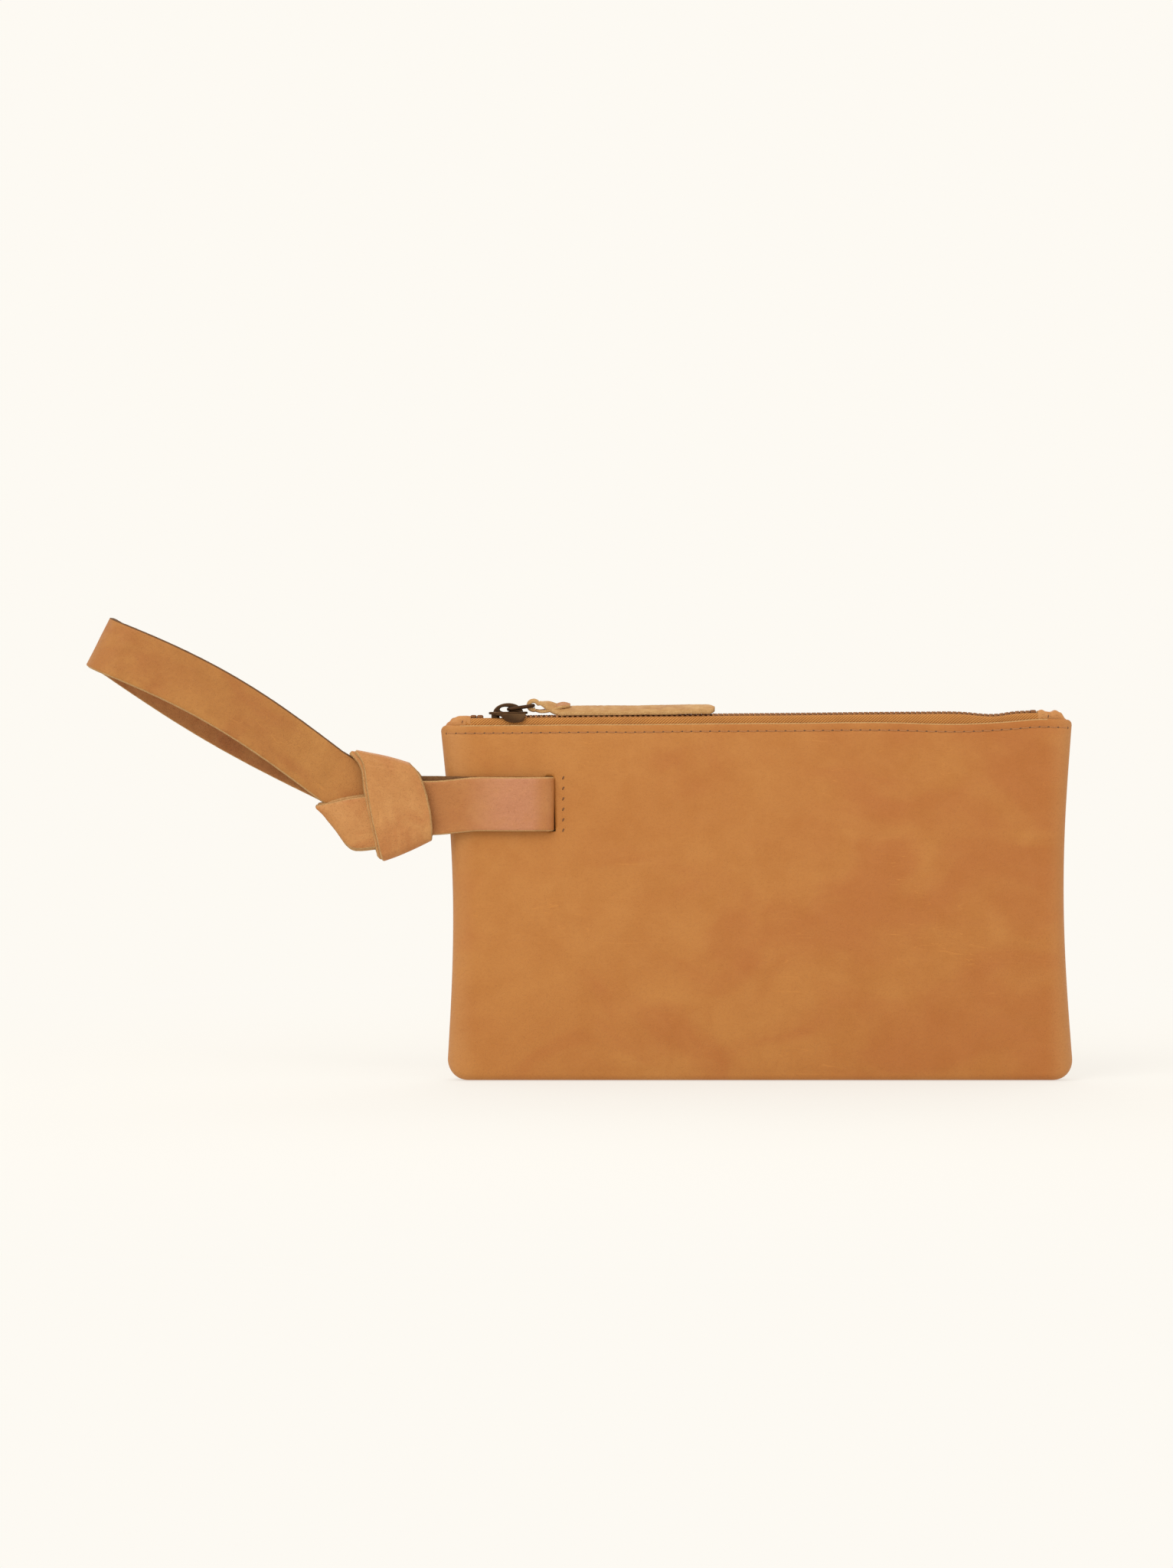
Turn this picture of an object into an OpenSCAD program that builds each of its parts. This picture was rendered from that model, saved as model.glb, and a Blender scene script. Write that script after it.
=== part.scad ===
/* [Pouch] */
// Width of the pouch along its bottom edge
pouch_w = 240; // [200:1:260]
// Height of the leather at the middle of the mouth
pouch_h = 137; // [120:1:150]
// Thickness of the filled pouch at its fullest
pouch_t = 22; // [18:0.5:26]
// Thickness of the pouch across its flat bottom strip
bottom_t = 14; // [12:0.5:16]
// Thickness of the pouch across the mouth
mouth_t = 9.4; // [9:0.1:11]
// Thickness of the leather
leather_t = 1.3; // [1:0.1:1.6]
// Radius of the two bottom corners, seen from the front
corner_r = 8; // [5:0.5:12]
// How far each side is drawn in at half height
waist = 3.2; // [0:0.2:5]
// How much higher the mouth is at its right end
mouth_rise = 2.2; // [0:0.1:3]
// How far the top leans to the left
lean = 1.5; // [0:0.1:3]

/* [Zip] */
// Distance between two teeth of one row
tooth_pitch = 2; // [1.8:0.1:2.4]
// Thickness of the woven tape
tape_t = 0.6; // [0.5:0.05:0.7]
// Height of the tape above the leather's cut edge
tape_rise = 2.8; // [2.5:0.1:3.2]
// Length of the slider's body
slider_l = 15; // [13:0.5:16]
// Distance from the pouch's middle to the slider's middle, zip closed
slider_x = -96.7; // [-98:0.1:-95]
// Length of the leather pull, from its eye to its tip
pull_l = 70; // [50:1:80]
// Width of the leather pull
pull_w = 7; // [5:0.5:9]

/* [Strap] */
// Width of the strap
strap_w = 21; // [18:0.5:24]
// Thickness of one layer of the strap
strap_t = 1.4; // [1.2:0.1:1.6]
// Height of the strap's middle line on the panel
strap_z = 106; // [95:1:112]
// Place of the slot that the strap goes through
slot_x = -79; // [-90:1:-60]
// Length of the wrist loop, from the knot to its far fold
loop_l = 102; // [80:1:120]
// Radius of the loop's far fold
loop_r = 13; // [8:0.5:18]
// Slope of the loop's run above the horizontal
loop_slope = 26.6; // [15:0.1:40]

/* [Hidden] */

LEATHER = [0.74, 0.47, 0.25];
EDGE = [0.80, 0.64, 0.44];
TAPE = [0.70, 0.42, 0.17];
BRONZE = [0.33, 0.25, 0.18];
THREAD = [0.62, 0.38, 0.20];

touch = 0.05;            // gap between pieces that are sewn face to face
side_r = 5;              // rounding of the panels towards the side seams
bottom_r = 3;            // rounding of the panels into the bottom strip
top_half = mouth_t / 2;
bottom_half = bottom_t / 2;
columns = 32;            // mesh columns across a panel
rises = 14;              // mesh rows up a panel above its bottom rounding
arc_rows = 3;            // mesh rows in the bottom rounding

// ---- outline and surface of a panel -------------------------------------------------
function half_w(z) = pouch_w / 2 - waist * sin(180 * z / pouch_h) + z / pouch_h;
function mouth_z(x) = pouch_h + mouth_rise * x / pouch_w;
function corner_lift(x, hw) =
    let (d = max(0, abs(x) - (hw - corner_r)))
    corner_r - sqrt(max(0, corner_r * corner_r - d * d));
function side_round(x, hw) =
    let (d = max(0, (abs(x) - (hw - side_r)) / side_r))
    max(0.05, sqrt(max(0, 1 - d * d)));
function fullness(u, t) = (1 - pow(abs(u), 2.5)) * sin(180 * pow(t, 0.75));
bulge = pouch_t / 2 - (0.6 * bottom_half + 0.4 * top_half);

// half thickness and height of row j, where the leather's face is moved inwards by inset
function row_yz(j, u, inset) =
    j == 0 ? [0, inset]
    : j == 1 ? [bottom_half - bottom_r, inset]
    : j <= 1 + arc_rows ?
        let (a = 90 * (j - 1) / arc_rows, r = bottom_r - inset)
        [bottom_half - bottom_r + r * sin(a), bottom_r - r * cos(a)]
    : let (t = (j - 1 - arc_rows) / rises)
        [bottom_half + (top_half - bottom_half) * t - inset + bulge * fullness(u, t),
         bottom_r + (pouch_h - bottom_r) * t];

function panel_point(u, j, inset) =
    let (yz = row_yz(j, u, inset), hw = half_w(yz[1]) - inset, x = u * hw,
         lift = corner_lift(x, hw), top = mouth_z(x))
    [x - lean * yz[1] / pouch_h, -yz[0] * side_round(x, hw), lift + yz[1] * (top - lift) / pouch_h];

// outer half thickness of the pouch at a place on its face
function face_y(x, z) =
    let (t = max(0, (z - bottom_r) / (pouch_h - bottom_r)), u = x / half_w(z))
    (bottom_half + (top_half - bottom_half) * t + bulge * fullness(u, t)) * side_round(x, half_w(z));

rows = 2 + arc_rows + rises;
function panel_points() = [
    for (inset = [0, leather_t], i = [0:columns], j = [0:rows - 1])
        panel_point(sin(-90 + 180 * i / columns), j, inset)];

function grid(i, j, side) = side * (columns + 1) * rows + i * rows + j;
function strip_faces(a, b, c, d) = [[a, b, c], [a, c, d]];
function panel_faces() = concat(
    [for (i = [0:columns - 1], j = [0:rows - 2])
        each strip_faces(grid(i, j, 0), grid(i, j + 1, 0), grid(i + 1, j + 1, 0), grid(i + 1, j, 0))],
    [for (i = [0:columns - 1], j = [0:rows - 2])
        each strip_faces(grid(i, j, 1), grid(i + 1, j, 1), grid(i + 1, j + 1, 1), grid(i, j + 1, 1))],
    [for (i = [0:columns - 1], j = [0, rows - 1])
        each j == 0
            ? strip_faces(grid(i, j, 0), grid(i + 1, j, 0), grid(i + 1, j, 1), grid(i, j, 1))
            : strip_faces(grid(i, j, 1), grid(i + 1, j, 1), grid(i + 1, j, 0), grid(i, j, 0))],
    [for (i = [0, columns], j = [0:rows - 2])
        each i == 0
            ? strip_faces(grid(i, j, 1), grid(i, j + 1, 1), grid(i, j + 1, 0), grid(i, j, 0))
            : strip_faces(grid(i, j, 0), grid(i, j + 1, 0), grid(i, j + 1, 1), grid(i, j, 1))]);

module panel() polyhedron(panel_points(), panel_faces(), convexity = 4);

// ---- seam allowances inside the side and bottom seams --------------------------------
allowance_w = 6;         // depth of the seam allowance
allowance_top = pouch_h - 15;
seam_inset = leather_t + 3.5;   // distance of the seam thread from the outline
seam_pitch = 5;

function lean_x(x, z) = x - lean * z / pouch_h;
function side_and_corner(inset) =
    let (r = max(0.3, corner_r - inset), c = inset + r, cx = half_w(corner_r) - c)
    concat([for (k = [0:8]) let (z = allowance_top + (c - allowance_top) * k / 8)
                [lean_x(-(half_w(z) - inset), z), z]],
           [for (a = [15:15:90]) [-(cx + r * cos(a)), c - r * sin(a)]]);
function reverse(list) = [for (k = [len(list) - 1:-1:0]) list[k]];
function mirrored(list) = [for (p = reverse(list)) [lean_x(-p[0] - lean * p[1] / pouch_h, p[1]), p[1]]];
function u_outline(inset) =
    let (half = side_and_corner(inset)) concat(half, mirrored(half));

module allowance()
    translate([0, -touch / 2, 0]) rotate([90, 0, 0])
        linear_extrude(leather_t - touch)
            polygon(concat(u_outline(leather_t - 0.2), reverse(u_outline(leather_t + allowance_w))));

// ---- threads -----------------------------------------------------------------------
thread_r = 0.3;
module rod(a, b, r) {
    d = b - a;
    l = norm(d);
    translate(a) rotate([0, acos(d[2] / l), atan2(d[1], d[0])]) cylinder(r = r, h = l, $fn = 16);
}
// one row of lock stitches through the points, seen on the faces at -depth and +depth
module stitch_row(points, front, back) {
    for (k = [0:len(points) - 1])
        rod(points[k] + [0, front, 0], points[k] + [0, back, 0], thread_r);
    for (k = [0:len(points) - 2])
        for (y = [front, back])
            rod(0.9 * points[k] + 0.1 * points[k + 1] + [0, y, 0],
                0.1 * points[k] + 0.9 * points[k + 1] + [0, y, 0], thread_r);
}

// ---- swept strips --------------------------------------------------------------------
function unit(v) = v / norm(v);
function tangent(path, k) = unit(path[min(k + 1, len(path) - 1)] - path[max(k - 1, 0)]);
function strip_points(path, across, w, t) = [
    for (k = [0:len(path) - 1])
        let (a = unit(across[k]), n = unit(cross(tangent(path, k), a)))
        each [path[k] + a * w / 2 + n * t / 2, path[k] + a * w / 2 - n * t / 2,
              path[k] - a * w / 2 - n * t / 2, path[k] - a * w / 2 + n * t / 2]];
function strip_ring_faces(n) = concat(
    [[0, 2, 1], [0, 3, 2]],
    [for (k = [0:n - 2], c = [0:3])
        let (a = 4 * k + c, b = 4 * k + (c + 1) % 4)
        each [[a, b + 4, a + 4], [a, b, b + 4]]],
    [[4 * n - 4, 4 * n - 3, 4 * n - 2], [4 * n - 4, 4 * n - 2, 4 * n - 1]]);
// a flat strip of width w and thickness t along a path; across gives its width direction
module strip(path, across, w, t)
    polyhedron(strip_points(path, across, w, t), strip_ring_faces(len(path)), convexity = 6);

// ---- pouch ---------------------------------------------------------------------------
strap_gap = 0.25;                                // air between the strap and the panel
stack_half = strap_t + touch;                    // half thickness of the two strap layers
layer_off = strap_t / 2 + touch;                 // a layer's middle, from the stack's middle
bend_r = 2.3;                                    // bend of the stack through the slot
slot_mid = slot_x - stack_half - 0.2;            // middle of the slot
slot_half = stack_half + 0.25;
edge_flat_x = -106;                              // the strap runs straight from here to the edge
low_edge_z = strap_z - strap_w / 2;
high_edge_z = strap_z + strap_w / 2;
stitch_col_x = slot_x + 3.4;                     // column of the strap's stitches
tail_end_x = slot_x + 13;                        // inner end of the strap

module front_panel() color(LEATHER)
    difference() {
        union() { panel(); allowance(); }
        translate([slot_mid - slot_half, -pouch_t, strap_z - strap_w / 2 - 0.4])
            cube([2 * slot_half, pouch_t - 2, strap_w + 0.8]);
    }
module back_panel() color(LEATHER)
    mirror([0, 1, 0]) { panel(); allowance(); }

function seam_points() =
    let (line = u_outline(seam_inset))
    [for (k = [0:len(line) - 2])
        let (n = max(1, round(norm(line[k + 1] - line[k]) / seam_pitch)))
        for (m = [0:n - 1]) let (p = line[k] + (line[k + 1] - line[k]) * m / n) [p[0], 0, p[1]]];
module side_seam_thread() color(THREAD)
    stitch_row(seam_points(), -leather_t - thread_r / 2, leather_t + thread_r / 2);

stitch_pitch = 3.6;
stitch_drop = 3;         // distance of the topstitch below the cut edge
stitch_from = -113;
stitch_count = 62;
function topstitch_points() = [
    for (k = [0:stitch_count])
        let (x = stitch_from + k * stitch_pitch) [x, 0, mouth_z(x) - stitch_drop]];
module topstitch()
    stitch_row(topstitch_points(), -face_y(0, pouch_h - stitch_drop) - 0.05, -tape_face + tape_t);
module front_topstitch() color(THREAD) topstitch();
module back_topstitch() color(THREAD) mirror([0, 1, 0]) topstitch();

// ---- zip -----------------------------------------------------------------------------
// the zip lies along the mouth, which rises a little to the right
module on_mouth()
    translate([0, 0, pouch_h]) rotate([0, -atan(mouth_rise / pouch_w), 0]) children();

tape_face = top_half - leather_t - touch;        // outer face of the tape inside the mouth
tape_depth = 12;                                 // how far the tape reaches into the pouch
tape_bend = 1;                                   // outer radius of the tape's bend
bead_y = 2.3;                                    // edge of the tape, where the teeth grip it
left_tab = [-119, -111];                       // span of the left end tab
right_tab = [106.2, 116];                        // span of the right end tab
tab_top = 3.9;                                   // height of the end tabs above the cut edge
tab_depth = 8;
tab_half = 2.3;                                  // half the tab's thickness, front to back
tab_round = 1.8;
tooth_low = 1.6;
tooth_high = 3.8;
tooth_reach = 0.6;                               // how far a tooth reaches past the middle
teeth_from = -98.4;
teeth_count = 101;
stops_x = -107.4;
bottom_stop_x = 104.6;

module zip_tape()
    on_mouth() translate([left_tab[1] + touch, 0, 0]) rotate([90, 0, 90])
        linear_extrude(right_tab[0] - left_tab[1] - 2 * touch)
            polygon(concat(
                [[-tape_face, -tape_depth]],
                [for (a = [0:15:90]) [-(tape_face - tape_bend) - tape_bend * cos(a),
                                      tape_rise - tape_bend + tape_bend * sin(a)]],
                [[-bead_y, tape_rise], [-bead_y, tape_rise - tape_t]],
                [for (a = [90:-30:0]) [-(tape_face - tape_bend) - (tape_bend - tape_t) * cos(a),
                                       tape_rise - tape_bend + (tape_bend - tape_t) * sin(a)]],
                [[-tape_face + tape_t, -tape_depth]]));
module front_zip_tape() color(TAPE) zip_tape();
module back_zip_tape() color(TAPE) mirror([0, 1, 0]) zip_tape();

module teeth(shift)
    on_mouth() for (k = [0:teeth_count - 1])
        translate([teeth_from + shift + k * tooth_pitch, -bead_y + touch, tooth_low])
            cube([tooth_pitch / 2 - 0.1, bead_y + tooth_reach - touch, tooth_high - tooth_low]);
module front_teeth() color(BRONZE) teeth(0);
module back_teeth() color(BRONZE) mirror([0, 1, 0]) teeth(tooth_pitch / 2);

module round_plate(l, w, r, h)
    linear_extrude(h) {
        square([l - 2 * r, w], center = true);
        square([l, w - 2 * r], center = true);
        for (x = [-1, 1], y = [-1, 1])
            translate([x * (l / 2 - r), y * (w / 2 - r)]) circle(r, $fn = 24);
    }
module top_stops() color(BRONZE)
    on_mouth() for (y = [-1, 1])
        translate([stops_x, y * 1.25, tooth_low]) round_plate(2.4, 2, 0.5, tooth_high - tooth_low);
module bottom_stop() color(BRONZE)
    on_mouth() translate([bottom_stop_x, 0, tooth_low])
        round_plate(2.2, 2 * bead_y - 0.2, 0.6, tooth_high - tooth_low);

module end_tab(span) {
    l = span[1] - span[0];
    on_mouth() translate([(span[0] + span[1]) / 2, 0, 0]) {
        translate([-l / 2, -tab_half, -tab_depth])
            cube([l, 2 * tab_half, tab_depth + tab_top - tab_round]);
        translate([-l / 2, tab_round - tab_half, 0])
            cube([l, 2 * (tab_half - tab_round), tab_top]);
        for (y = [-1, 1])
            translate([-l / 2, y * (tab_half - tab_round), tab_top - tab_round]) rotate([0, 90, 0])
                cylinder(r = tab_round, h = l, $fn = 32);
    }
}
module left_end_tab() color(LEATHER) end_tab(left_tab);
module right_end_tab() color(LEATHER) end_tab(right_tab);
module end_tab_stitches() color(THREAD)
    on_mouth() for (x = [-114.2, 110.2])
        rod([x, -tab_half - 0.1, 1.2], [x, tab_half + 0.1, 1.2], thread_r);

// ---- slider and pull -----------------------------------------------------------------
plate_low = 4.15;                                // underside of the slider's top plate
plate_t = 1;
plate_w = 9.2;
flange_t = 0.85;
flange_low = 0.9;
under_w = 4.8;                                   // width of the plate below the teeth
under_low = 0.1;
divider_w = 1.6;
bail_w = 3;
bail_r = 6.7;                                    // outer radius of the bail's arch
bail_in = 5.45;
bail_z = 1.7;                                    // height of the arch's centre
link_r = 0.6;                                    // radius of the link's wire
link_half = 3;                                   // half the link's width
link_pin = [slider_x + 0.2, 6.1];                // x and height where the link hangs in the bail
eye_pin = [slider_x + 9.6, 7.4];                 // x and height of the link's outer bar
eye_in = 1;
eye_out = 2.4;
pull_t = 1.4;
pull_tilt = 15;
pull_rest = 5.95;                                // height of the pull's middle along the chain

module slider_body() color(BRONZE)
    on_mouth() translate([slider_x, 0, 0]) {
        translate([0, 0, plate_low]) round_plate(slider_l, plate_w, 2, plate_t);
        for (y = [-1, 1])
            translate([0, y * (plate_w - flange_t) / 2, flange_low])
                round_plate(slider_l - 3, flange_t, 0.3, plate_low - flange_low + 0.1);
        translate([0, 0, under_low]) round_plate(slider_l - 1, under_w, 1.2, tooth_low - under_low - 0.4);
        translate([-slider_l / 2 + 2.6, 0, under_low])
            round_plate(3.4, divider_w, 0.7, plate_low - under_low + 0.1);
    }
module slider_bail() color(BRONZE)
    on_mouth() translate([slider_x, bail_w / 2, 0]) rotate([90, 0, 0]) linear_extrude(bail_w)
        intersection() {
            translate([0, bail_z]) difference() {
                circle(bail_r, $fn = 64);
                circle(bail_in, $fn = 64);
            }
            translate([-bail_r, plate_low + plate_t]) square([2 * bail_r, bail_r]);
        }
module pull_link() color(BRONZE)
    on_mouth() {
        for (p = [link_pin, eye_pin])
            rod([p[0], -link_half, p[1]], [p[0], link_half, p[1]], link_r);
        for (y = [-link_half, link_half]) {
            rod([link_pin[0], y, link_pin[1]], [eye_pin[0], y, eye_pin[1]], link_r);
            for (p = [link_pin, eye_pin]) translate([p[0], y, p[1]]) sphere(link_r, $fn = 24);
        }
    }

pull_from = eye_pin[0] + eye_out - pull_t / 2;
pull_settle = 9;                                 // length over which the pull settles on the chain
pull_steps = 20;
function ease(s) = let (c = min(1, max(0, s))) c * c * (3 - 2 * c);
function pull_path() = [
    for (k = [0:pull_steps])
        let (x = pull_l * k / pull_steps, s = ease(x / pull_settle))
        [pull_from + x, 0, eye_pin[1] + (pull_rest - eye_pin[1]) * s]];
function pull_across() = [
    for (k = [0:pull_steps])
        let (a = -pull_tilt * ease(pull_l * k / pull_steps / pull_settle)) [0, cos(a), -sin(a)]];
module leather_pull() color(EDGE)
    on_mouth() {
        translate([eye_pin[0], 0, eye_pin[1]]) rotate([90, 0, 0]) difference() {
            cylinder(r = eye_out, h = 2 * (link_half - link_r) - 0.6, center = true, $fn = 48);
            cylinder(r = eye_in, h = 2 * link_half, center = true, $fn = 48);
        }
        strip(pull_path(), pull_across(), pull_w, pull_t);
    }

// ---- strap ---------------------------------------------------------------------------
stack_y = -(face_y(edge_flat_x, low_edge_z) + strap_gap + stack_half);  // strap beyond the edge
strap_hinge_x = -122.5;
tail_from_x = strap_hinge_x + 2.3;
run_to_x = strap_hinge_x - 1.8;
run_from_x = -146.8;                             // end of the run inside the knot
knot_half_d = 7;                                 // half the knot's depth
knot_wall = 2 * strap_t + 0.2;
slot_y = -(face_y(slot_x, low_edge_z) + strap_gap + stack_half);        // stack before the slot
inside_y = leather_t + strap_gap + stack_half - face_y(slot_x, high_edge_z);  // stack behind the panel

// middle of a strap layer that lies off from the stack's middle, towards the front
function outside_y(x) = -(face_y(max(x, edge_flat_x), low_edge_z) + strap_gap + stack_half);
function tail_path(off) = concat(
    [for (k = [0:8])
        let (x = tail_from_x + (slot_mid - bend_r - tail_from_x) * k / 8)
        [x, min(outside_y(x), slot_y + 4) - off, strap_z]],
    [for (a = [-75:15:0]) [slot_mid - bend_r + (bend_r + off) * cos(a),
                           slot_y + bend_r + (bend_r + off) * sin(a), strap_z]],
    [for (a = [180:-15:90]) [slot_mid + bend_r + (bend_r - off) * cos(a),
                             inside_y - bend_r + (bend_r - off) * sin(a), strap_z]],
    [[(slot_mid + tail_end_x) / 2, inside_y - off, strap_z], [tail_end_x, inside_y - off, strap_z]]);
module tail(off) {
    path = tail_path(off);
    strip(path, [for (p = path) [0, 0, 1]], strap_w, strap_t);
}
module strap_tail_front() color(LEATHER) tail(layer_off);
module strap_tail_back() color(LEATHER) tail(-layer_off);

strap_stitches_n = 6;
strap_stitch_pitch = 4;
module strap_stitches() color(THREAD)
    stitch_row([for (k = [0:strap_stitches_n - 1])
        [stitch_col_x, 0, strap_z + (k - (strap_stitches_n - 1) / 2) * strap_stitch_pitch]],
        -face_y(stitch_col_x, strap_z) - 0.05, inside_y + stack_half + 0.1);

module strap_run(off)
    translate([run_from_x, stack_y - off - strap_t / 2, low_edge_z])
        cube([run_to_x - run_from_x, strap_t, strap_w]);
module strap_run_front() color(LEATHER) strap_run(layer_off);
module strap_run_back() color(LEATHER) strap_run(-layer_off);

// corners of the knot's outer turn, seen from the front
wrap_outline = [[-155.5, 127], [-151.5, 125], [-137, 122], [-130, 119.6], [-127, 107], [-125.4, 92.5],
    [-144.8, 84]];
tunnel_half_z = strap_w / 2 + 0.3;
// left edge of the outer turn at height z
function wrap_edge(z) = [-155.5 + (127 - z) * (155.5 - 144.8) / (127 - 84), z];
module knot_wrap() color(LEATHER)
    difference() {
        translate([0, stack_y + knot_half_d, 0]) rotate([90, 0, 0])
            linear_extrude(2 * knot_half_d) polygon(wrap_outline);
        translate([-160, stack_y - knot_half_d + knot_wall, strap_z - tunnel_half_z])
            cube([50, 2 * (knot_half_d - knot_wall), 2 * tunnel_half_z]);
    }
module knot_tuck() color(LEATHER)
    translate([0, stack_y - knot_half_d + 1 + knot_wall, 0]) rotate([90, 0, 0])
        linear_extrude(knot_wall)
            polygon([[-168, 104.5], wrap_edge(108.5) - [0.3, 0], wrap_edge(90) - [0.3, 0],
                [-153.9, 89.1], [-156.6, 89.6], [-162, 96.3]]);

// the wrist loop runs out from the knot along loop_dir, and its width lies along loop_wide
loop_root = [-164, stack_y, 116.7];
loop_dir = [-cos(loop_slope), 0, sin(loop_slope)];
loop_wide = [sin(loop_slope), 0, cos(loop_slope)];
loop_start = 1.5;
loop_lift = 6.2;                                 // how far the far fold is shifted along the width
loop_arch = 4.5;                                 // how far the front run arches upwards
loop_steps = 12;
loop_straight = loop_l - loop_r;
function loop_shift(l, front) =
    loop_lift * l / loop_l + loop_arch * sin(180 * min(1, l / loop_l)) * (front + 1) / 2;
function loop_at(l, half, front) =
    loop_root + l * loop_dir + [0, -half * front, 0] + loop_shift(l, front) * loop_wide;
function loop_half(l) = strap_t / 2 + 0.3 + (loop_r - strap_t / 2 - 0.3) * sin(90 * l / loop_straight);
function loop_path() = concat(
    [for (k = [0:loop_steps - 1])
        let (l = loop_start + (loop_straight - loop_start) * k / loop_steps) loop_at(l, loop_half(l), 1)],
    [for (a = [-90:15:90]) loop_root + (loop_straight + loop_r * cos(a)) * loop_dir
        + [0, loop_r * sin(a), 0]
        + loop_shift(loop_straight + loop_r * cos(a), -sin(a)) * loop_wide],
    [for (k = [loop_steps - 1:-1:0])
        let (l = loop_start + (loop_straight - loop_start) * k / loop_steps) loop_at(l, loop_half(l), -1)]);
module wrist_loop() color(LEATHER) {
    path = loop_path();
    strip(path, [for (p = path) loop_wide], strap_w, strap_t);
}

front_panel();
back_panel();
side_seam_thread();
front_zip_tape();
back_zip_tape();
front_teeth();
back_teeth();
top_stops();
bottom_stop();
left_end_tab();
right_end_tab();
end_tab_stitches();
front_topstitch();
back_topstitch();
strap_tail_front();
strap_tail_back();
strap_stitches();
slider_body();
slider_bail();
pull_link();
leather_pull();
strap_run_front();
strap_run_back();
knot_wrap();
knot_tuck();
wrist_loop();
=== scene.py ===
import math

import bpy
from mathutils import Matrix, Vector, noise


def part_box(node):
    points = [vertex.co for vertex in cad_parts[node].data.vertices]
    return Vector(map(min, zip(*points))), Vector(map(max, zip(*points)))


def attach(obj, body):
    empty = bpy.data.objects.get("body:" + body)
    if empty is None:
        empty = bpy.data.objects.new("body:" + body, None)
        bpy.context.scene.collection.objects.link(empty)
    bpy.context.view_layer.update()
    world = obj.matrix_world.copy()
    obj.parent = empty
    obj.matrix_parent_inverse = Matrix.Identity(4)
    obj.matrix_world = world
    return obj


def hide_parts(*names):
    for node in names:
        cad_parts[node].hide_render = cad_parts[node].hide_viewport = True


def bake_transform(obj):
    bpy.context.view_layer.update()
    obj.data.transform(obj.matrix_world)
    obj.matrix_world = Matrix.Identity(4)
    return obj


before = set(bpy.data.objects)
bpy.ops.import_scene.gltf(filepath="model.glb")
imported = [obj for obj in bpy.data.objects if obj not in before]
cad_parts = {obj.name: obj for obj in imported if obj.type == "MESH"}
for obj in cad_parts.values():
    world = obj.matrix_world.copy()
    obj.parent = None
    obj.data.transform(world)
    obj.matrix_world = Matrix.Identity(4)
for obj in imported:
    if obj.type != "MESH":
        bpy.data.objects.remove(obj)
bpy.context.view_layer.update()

# Sizes in metres, from the frame and from the design that the frame was packed from.
POUCH_W = 0.240  # width at the bottom
POUCH_H = 0.137  # height of the middle of the mouth
POUCH_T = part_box("back_panel")[1].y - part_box("front_panel")[0].y
LEATHER_T = 0.0013
WAIST = 0.0032  # how far each side is drawn in at mid height
MOUTH_WIDER = 0.001  # how much further out each side is at the mouth than at the bottom
MOUTH_RISE = 0.0022  # how much higher the mouth's right end is than its left
LEAN = 0.0015  # how far the mouth lies to the left of the bottom
CORNER_R = 0.008  # the lower corners, seen from the front
SIDE_R = 0.005  # the sides, seen from above
BOTTOM_R = 0.003  # the bottom strip's edges, seen from the side
BOTTOM_HALF = 0.007  # half thickness at the bottom strip
TOP_HALF = 0.0047  # half thickness at the mouth
BULGE = POUCH_T / 2 - (0.6 * BOTTOM_HALF + 0.4 * TOP_HALF)

STRAP_W = 0.021
STRAP_T = 0.0014  # one layer
STRAP_Z = 0.106  # height of the strap's middle line

QUARTER = math.pi / 2


def clamp(v, low=0.0, high=1.0):
    return max(low, min(high, v))


def ease(s):
    c = clamp(s)
    return c * c * (3 - 2 * c)


def mix(a, b, t):
    return a + (b - a) * t


def cloud(x, y, z, size, seed=0.0):
    """Smooth noise from -1 to 1 whose lumps are about size metres across."""
    return noise.noise(Vector((x / size + seed, y / size - seed, z / size + 2 * seed)))


def bell(x, middle, width):
    return math.exp(-((x - middle) / width) ** 2)


def signed_power(v, power):
    return math.copysign(abs(v) ** power, v)


def arc(cx, cy, r, start, turn, steps):
    """Points round (cx, cy), from the angle start on over the angle turn."""
    angles = [start + turn * k / steps for k in range(steps + 1)]
    return [(cx + r * math.cos(a), cy + r * math.sin(a)) for a in angles]


def circle(steps):
    """Points round a circle of radius 1."""
    return arc(0, 0, 1, 0, 4 * QUARTER, steps)[:-1]


def rounded_box(x0, y0, x1, y1, r, steps):
    """The outline of a rectangle with rounded corners, from the corner at (x1, y1) on."""
    corners = ((x1 - r, y1 - r), (x0 + r, y1 - r), (x0 + r, y0 + r), (x1 - r, y0 + r))
    return [p for k, (cx, cy) in enumerate(corners) for p in arc(cx, cy, r, k * QUARTER, QUARTER, steps)]


def rim(z0, z1, r, steps):
    """A plate's rounded side, from its underside to its top, as pairs (how far in, height)."""
    return (arc(r, z0 + r, r, 3 * QUARTER, -QUARTER, steps)
            + arc(r, z1 - r, r, 2 * QUARTER, -QUARTER, steps))


def sided(side, name):
    """The name of a thing that is there twice; the front is the side where Y is negative."""
    return ("front_" if side < 0 else "back_") + name


# ---- node materials ----
def add_object(name, data):
    obj = bpy.data.objects.new(name, data)
    bpy.context.scene.collection.objects.link(obj)
    return obj


def aim(obj, place, target):
    """Puts a camera or light at a place, looking at the target."""
    obj.location = place
    obj.rotation_mode = "QUATERNION"
    obj.rotation_quaternion = (Vector(target) - Vector(place)).to_track_quat("-Z", "Y")


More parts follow.
